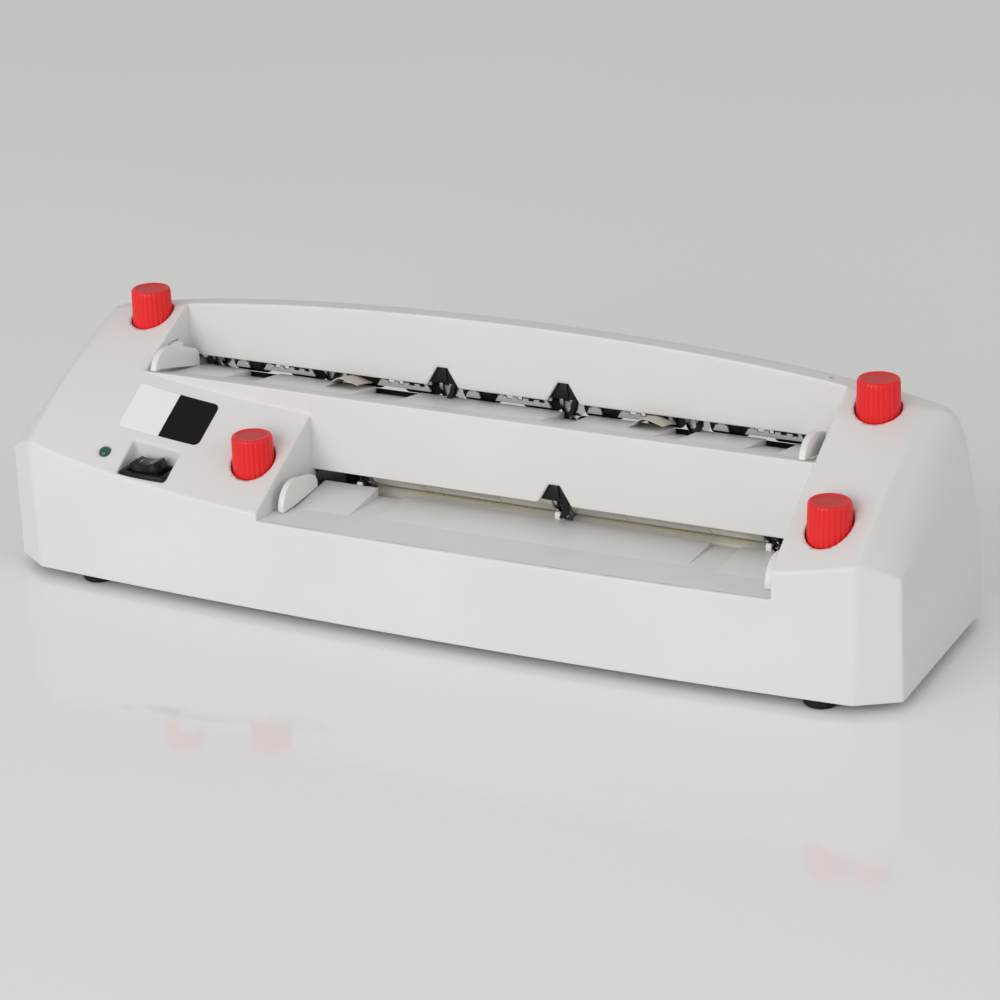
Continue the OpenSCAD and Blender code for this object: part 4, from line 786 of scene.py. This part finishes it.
def rocker_frame(pts3, tilt=-4.0):
    """Rocker's own coordinates (pivot at 0, 0) to working millimetres."""
    c, s = math.cos(math.radians(tilt)), math.sin(math.radians(tilt))
    return [(-131.2 + c * x + s * z, y, 47.2 - s * x + c * z) for x, y, z in pts3]
TOPR = spline([(-6.35, 6.3), (-6.2, 7.15), (-5.7, 7.65), (-5.0, 7.6), (-2.7, 6.95), (0, 6.68), (2.7, 6.95), (5.0, 7.6), (5.7, 7.65), (6.2, 7.15), (6.35, 6.3)], 5)
def rocker():
    prof = TOPR + [(7.1, 0.0), (3.0, -3.4), (-3.0, -3.4), (-7.1, 0.0)]
    cx = 0.0; cz = 1.2
    bm = bmesh.new(); Ls = []
    for y, sc in ((8.4, 0.94), (8.5, 0.975), (8.75, 1.0), (16.95, 1.0), (17.2, 0.975), (17.3, 0.94)):
        pts = [(cx + (x - cx) * sc, y, cz + (z - cz) * (sc if z > 4 else 1)) for x, z in prof]
        Ls.append([bm.verts.new(tuple(row(p))) for p in rocker_frame(pts)])
    for A, B in zip(Ls, Ls[1:]):
        n = len(A)
        for i in range(n):
            j = (i + 1) % n
            bm.faces.new((A[i], A[j], B[j], B[i]))
    bm.faces.new(Ls[0][::-1]); bm.faces.new(Ls[-1])
    ring = []
    for y, r in ((8.15, 0.0), (8.15, 1.0), (8.3, 1.2), (17.4, 1.2), (17.55, 1.0), (17.55, 0.0)):
        if r == 0:
            ring.append([bm.verts.new(tuple(row(rocker_frame([(0, y, 0)])[0])))])
        else:
            ring.append([bm.verts.new(tuple(row(p))) for p in rocker_frame([(r * math.cos(a), y, r * math.sin(a)) for a in np.linspace(0, 2 * math.pi, 24, endpoint=False)])])
    for A, B in zip(ring, ring[1:]):
        for i in range(24):
            j = (i + 1) % 24
            if len(A) == 1: bm.faces.new((A[0], B[i], B[j]))
            elif len(B) == 1: bm.faces.new((A[i], B[0], A[j]))
            else: bm.faces.new((A[i], B[i], B[j], A[j]))
    return bm_object("switch_rocker_cap", bm)
finish_piece(rocker(), M_SWITCH, "switch_rocker_body", ("switch_rocker",), angle=50)
def zr(x):
    xs = [p[0] for p in TOPR]; zs = [p[1] for p in TOPR]
    return float(np.interp(x, xs, zs))
def marks():
    """The on and off marks pressed into the two halves of the rocker."""
    bm = bmesh.new()
    def strip(path, w, closed):
        m = len(path); q = []
        for i, (x, y) in enumerate(path):
            a = path[i - 1] if (i or closed) else path[i]; b = path[(i + 1) % m] if (i < m - 1 or closed) else path[i]
            tx, ty = b[0] - a[0], b[1] - a[1]; t = math.hypot(tx, ty) or 1
            nx, ny = -ty / t, tx / t
            r4 = []
            for s, h in ((-1, -0.05), (-1, 0.05), (1, 0.05), (1, -0.05)):
                px, py = x + s * nx * w / 2, y + s * ny * w / 2
                r4.append(bm.verts.new(tuple(row(rocker_frame([(px, py, zr(px) + h)])[0]))))
            q.append(r4)
        prs = list(zip(q, q[1:] + ([q[0]] if closed else [])))
        if not closed: prs = list(zip(q, q[1:]))
        for A, B in prs:
            for k in range(4):
                l = (k + 1) % 4
                bm.faces.new((A[k], B[k], B[l], A[l]))
        if not closed:
            bm.faces.new(q[0]); bm.faces.new(q[-1][::-1])
    strip([(-3.0, y) for y in np.linspace(11.3, 14.3, 5)], 0.42, False)
    strip([(3.0 + 1.15 * math.cos(a), 12.8 + 1.5 * math.sin(a)) for a in np.linspace(0, 2 * math.pi, 28, endpoint=False)], 0.36, True)
    return bm_object("switch_marks", bm)
finish_piece(marks(), M_INK, "switch_rocker_body", ())

# ---------------------------------------------------------------- lamp
sn32, cs32 = math.sin(math.radians(32)), math.cos(math.radians(32))
LZ = float(deck(np.float64(LAMP[0]), np.float64(LAMP[1])))
AX = ((1, 0, 0), (0, cs32, sn32), (0, -sn32, cs32))
bm = bmesh.new()
lathe(bm, [(0, -6), (2.45, -6), (2.45, 0.25), (2.36, 0.6), (2.1, 1.0), (1.7, 1.28), (1.15, 1.5), (0.6, 1.61), (0, 1.65)], (LAMP[0], LAMP[1], LZ), AX, 64)
finish_piece(bm_object("lamp_lens", bm), M_LAMP, "casing", ("power_lamp",), angle=40)

# ---------------------------------------------------------------- label
M_LWHITE = plastic("label_white", (0.90, 0.90, 0.89), rough=0.28, var=0.01, grain=900, gdist=0.000006, seed=20.0, coat=0.15)
M_LBLACK = plastic("label_black", (0.004, 0.004, 0.004), rough=0.34, var=0.1, grain=900, gdist=0.000006, seed=21.0, spec=0.2)
def label():
    x0, x1, y0, y1, xs = -152.8, -113.6, 24.3, 44.0, -133.2
    r = 2.6
    bm = bmesh.new()
    ys = sorted(set([y0 + t for t in (0, 0.1, 0.3, 0.6, 1.0, 1.5, 2.0, 2.6)] + list(np.linspace(y0 + 2.6, y1 - 2.6, 10)) + [y1 - t for t in (0, 0.1, 0.3, 0.6, 1.0, 1.5, 2.0, 2.6)]))
    def edge(y, rad):
        e = min(y - y0, y1 - y)
        return rad - math.sqrt(max(rad * rad - max(rad - e, 0) ** 2, 0)) if e < rad else 0.0
    U = np.linspace(0, 1, 9)
    top, bot = [], []
    for y in ys:
        a, b = x0 + edge(y, 0.8), x1 - edge(y, r)
        xx = list(a + (xs - a) * U) + list(xs + (b - xs) * U[1:])
        z = lambda x: float(deck(np.float64(x), np.float64(y)))
        top.append([bm.verts.new(tuple(row((x, y, z(x) + 0.30)))) for x in xx])
        bot.append([bm.verts.new(tuple(row((x, y, z(x) - 0.12)))) for x in xx])
    n, m = len(ys), len(top[0])
    for i in range(n - 1):
        for j in range(m - 1):
            f = bm.faces.new((top[i][j], top[i][j + 1], top[i + 1][j + 1], top[i + 1][j])); f.material_index = 0 if j < 8 else 1
            f = bm.faces.new((bot[i + 1][j], bot[i + 1][j + 1], bot[i][j + 1], bot[i][j])); f.material_index = 0 if j < 8 else 1
        for j, o in ((0, 1), (m - 1, -1)):
            q = (top[i][j], top[i + 1][j], bot[i + 1][j], bot[i][j])
            f = bm.faces.new(q if o < 0 else q[::-1]); f.material_index = 0 if j == 0 else 1
    for j in range(m - 1):
        for i in (0, n - 1):
            q = (top[i][j], bot[i][j], bot[i][j + 1], top[i][j + 1])
            f = bm.faces.new(q if i == 0 else q[::-1]); f.material_index = 0 if j < 8 else 1
    o = bm_object("label_blank", bm)
    o.data.materials.append(M_LWHITE); o.data.materials.append(M_LBLACK)
    return o
finish_piece(label(), M_LWHITE, "casing", ("label_plate",), angle=40)

# ---------------------------------------------------------------- feet
FEET = [(-161.5, 13.2), (172, 12.6), (-166, 98), (173, 98)]
it = []
for f in FEET:
    it.append(([(0, 0.19), (4.9, 0.19), (5.0, 0.1), (5.0, -0.06), (6.9, -0.08), (7.2, -0.25), (7.2, -0.75), (7.05, -0.95), (7.05, -1.2), (7.2, -1.4), (7.15, -2.4), (6.9, -3.1), (6.5, -3.55), (6.0, -3.76), (5.4, -3.8), (3.6, -3.8), (3.3, -3.6), (3.0, -3.2), (0, -3.1)], (f[0], f[1], 0)))
    it.append(([(0, 0.1), (1.97, 0.1), (1.97, 3.2), (1.8, 3.4), (0, 3.4)], (f[0], f[1], 0)))
finish_piece(lathes("rubber_feet_set", it, "z", 56), M_RUBBER, "casing", ("rubber_feet",), angle=40)

# ---------------------------------------------------------------- parts seen through the throats
pr = []
for i in range(5):
    g = U_GUT[i]
    blk = [(g + 23.9, 72.4), (g + 50.1, 72.4), (g + 48.5, 75.1)]
    for j in (3, 2, 1, 0):
        a = g + 29.2 + j * 5.1
        blk += [(a + 2.8, 75.1), (a + 2.6, 74.1), (a + 0.2, 74.1), (a, 75.1)]
    blk += [(g + 25.5, 75.1)]
    pr.append((1, blk, 89.0, 90.05))
    pr.append((1, [(g + 9.7, 72.4), (g + 16.8, 72.4), (g + 16, 75.0), (g + 11, 75.0)], 89.0, 90.05))
    pr.append((1, [(g + 9.5, 75.6), (g + 50.5, 75.6), (g + 50.5, 77), (g + 9.5, 77)], 89.05, 90.0))
    pr.append((1, [(g + 12, 74.9), (g + 15, 74.9), (g + 15, 75.7), (g + 12, 75.7)], 89.1, 89.95))
    for x in (26.2, 46.8):
        pr.append((1, [(g + x, 75.0), (g + x + 1.6, 75.0), (g + x + 1.6, 75.7), (g + x, 75.7)], 89.1, 89.95))
finish_piece(part("comb_strip", pr, 0.12, 2), M_COMB, "casing", ("guide_comb",))
# small bright tongues that hold the strip down to the blades of the lower unit
tg = [(0, [(50.6, 39.4), (51.4, 39.4), (52.2, 41.0), (51.9, 42.3), (51.3, 42.4), (50.6, 41.6)], g - 1.2, g + 1.2) for g in L_GUT]
finish_piece(part("lower_blade_tongues", tg, 0.15, 2), M_GUIDE, "casing", ())
def foot_pr(g, y, z, h):
    return (0, [(y + 2.75, z + h), (y + 2.75, z - 3.8), (y - 2.4, z - 4.5), (y - 3.2, z - 4.1), (y - 0.6, z - 2.6), (y + 2.2, z + h)], g + 3.4, g + 5.6)
def strip_pr(g, y, z):
    zl = [(-8.8, 1.4), (-3.6, 9.8), (3.6, 9.8), (8.8, 1.4), (5.6, 0.7), (-5.6, 0.7)]
    rib = [(-1.6, 2.0), (-0.9, 8.6), (0.9, 8.6), (1.6, 2.0)]
    up = 0.5 if z > 60 else 0.0
    return [foot_pr(g, y, z + up, 1.6 - up), (1, [(g + u, z + v) for u, v in zl], y + 2.35, y + 2.85), (1, [(g + u, z + v) for u, v in rib], y + 1.5, y + 2.4)]
o = part("upper_stripper_set", strip_pr(U_GUT[2], REAR, ST_U) + strip_pr(U_GUT[3], REAR, ST_U) + [foot_pr(U_GUT[i], REAR, ST_U + 0.5, -1.1) for i in (1, 4)], 0.18, 2)
finish_piece(o, M_BLACK, "casing", ("upper_strippers",))
finish_piece(part("lower_stripper_set", strip_pr(41.4, STEP, ST_L), 0.18, 2), M_BLACK, "casing", ("lower_stripper",))
def leaves():
    bm = bmesh.new()
    mid = spline([(-7.95, 0.25), (-5.5, 1.45), (-3.4, 3.1), (-1.55, 4.05), (1.2, 3.75), (4.5, 2.85), (7.8, 1.9)], 6)
    c, s = math.cos(math.radians(77.4)), math.sin(math.radians(77.4))
    for sg in (-1, 1):
        L = []
        for w in np.linspace(0, 13, 12):
            lp = []
            lift = 0.22 * math.sin(math.pi * w / 13) - 0.05
            for side in (0.26, -0.26):
                seq = mid if side > 0 else mid[::-1]
                for i, (x, z) in enumerate(seq):
                    yy = z + side + lift
                    lp.append((sg * 71.4 + x, 87.6 + c * yy - s * w, 71.95 + s * yy * 0.9 + c * w))
            L.append([bm.verts.new(tuple(row(p))) for p in lp])
        for A, B in zip(L, L[1:]):
            n = len(A)
            for i in range(n):
                j = (i + 1) % n
                bm.faces.new((A[i], A[j], B[j], B[i]))
        bm.faces.new(L[0][::-1]); bm.faces.new(L[-1])
    return bm_object("curled_leaves", bm)
finish_piece(leaves(), M_LEAF, "casing", ("hold_down_leaves",), angle=45)

# ---------------------------------------------------------------- carried-over nodes: small bevels on moulded and cut edges
BEV = {"bottom_pan": 0.35, "left_frame": 0.15, "centre_frame": 0.15, "right_frame": 0.15, "motor_bracket": 0.2, "upper_exit_chute": 0.25, "lower_exit_chute": 0.25,
       "rack_brackets": 0.2, "circuit_board": 0.12, "power_inlet": 0.25, "pan_screws": 0.12, "lamp_holder": 0.15, "motor_body": 0.3}
for n, w in BEV.items():
    md = N[n].modifiers.new("edge", "BEVEL")
    md.width = w * MM; md.segments = 2; md.limit_method = "ANGLE"; md.angle_limit = math.radians(38)
    md.harden_normals = False; md.use_clamp_overlap = True
for n, o in N.items():
    o.data.set_sharp_from_angle(angle=math.radians(35)) if hasattr(o.data, "set_sharp_from_angle") else None

# ---------------------------------------------------------------- floor
def floor():
    bm = bmesh.new()
    R = 4.0
    vs = [bm.verts.new((x * R, y * R, 0.0)) for x, y in ((-1, -1), (1, -1), (1, 1), (-1, 1))]
    bm.faces.new(vs)
    me = bpy.data.meshes.new("floor"); bm.to_mesh(me); bm.free()
    o = bpy.data.objects.new("floor", me); bpy.context.scene.collection.objects.link(o)
    m, nt, b = new_mat("floor_paint")
    nt.links.new(ramp(nt, noise(nt, 1.3, 2, 0.5), (0.92, 0.92, 0.915), (0.94, 0.94, 0.935)), b.inputs["Base Color"])
    nt.links.new(remap(nt, noise(nt, 6, 3, 0.5), 0.05, 0.08), b.inputs["Roughness"])
    b.inputs["Specular IOR Level"].default_value = 0.5
    me.materials.append(m)
floor()

# ---------------------------------------------------------------- light
def area(name, loc, target, size, power, col=(1, 1, 1), size_y=None):
    l = bpy.data.lights.new(name, "AREA")
    l.energy = power; l.color = col; l.size = size
    if size_y:
        l.shape = "RECTANGLE"; l.size_y = size_y
    o = bpy.data.objects.new(name, l)
    bpy.context.scene.collection.objects.link(o)
    o.location = loc
    d = Vector(target) - Vector(loc)
    o.rotation_euler = d.to_track_quat("-Z", "Y").to_euler()
    return o
w = bpy.data.worlds.new("studio"); bpy.context.scene.world = w
w.use_nodes = True
bg = w.node_tree.nodes.get("Background")
bg.inputs[0].default_value = (1.0, 0.995, 0.985, 1); bg.inputs[1].default_value = 0.515
area("key_box", (-0.5, -2.45, 0.92), (0, 0, 0.05), 2.0, 33, (1.0, 0.997, 0.99))
area("side_box", (2.6, -0.3, 0.9), (0, 0, 0.05), 1.6, 9, (1, 0.985, 0.99))
bpy.context.scene.view_settings.view_transform = "Standard"

# ---------------------------------------------------------------- camera, from the photograph's viewing angle
def camera(C, yaw, pitch, roll, f):
    cy, sy, cp, sp = math.cos(yaw), math.sin(yaw), math.cos(pitch), math.sin(pitch)
    dd = np.array([-sy * cp, cy * cp, -sp]); r = np.array([cy, sy, 0.0]); u = np.cross(r, dd)
    c, s = math.cos(roll), math.sin(roll)
    r2 = c * r + s * u; u2 = -s * r + c * u
    cd = bpy.data.cameras.new("camera"); co = bpy.data.objects.new("camera", cd)
    bpy.context.scene.collection.objects.link(co)
    co.matrix_world = Matrix(((r2[0], u2[0], -dd[0], C[0]), (r2[1], u2[1], -dd[1], C[1]), (r2[2], u2[2], -dd[2], C[2]), (0, 0, 0, 1)))
    cd.lens = f * 36 / 1000; cd.sensor_width = 36; cd.sensor_fit = "HORIZONTAL"; cd.clip_end = 50
    bpy.context.scene.camera = co
camera((0.55282, -1.04425, 0.50308), math.radians(27.345), math.radians(21.272), math.radians(-2.099), 3031.55)

bpy.context.view_layer.update()
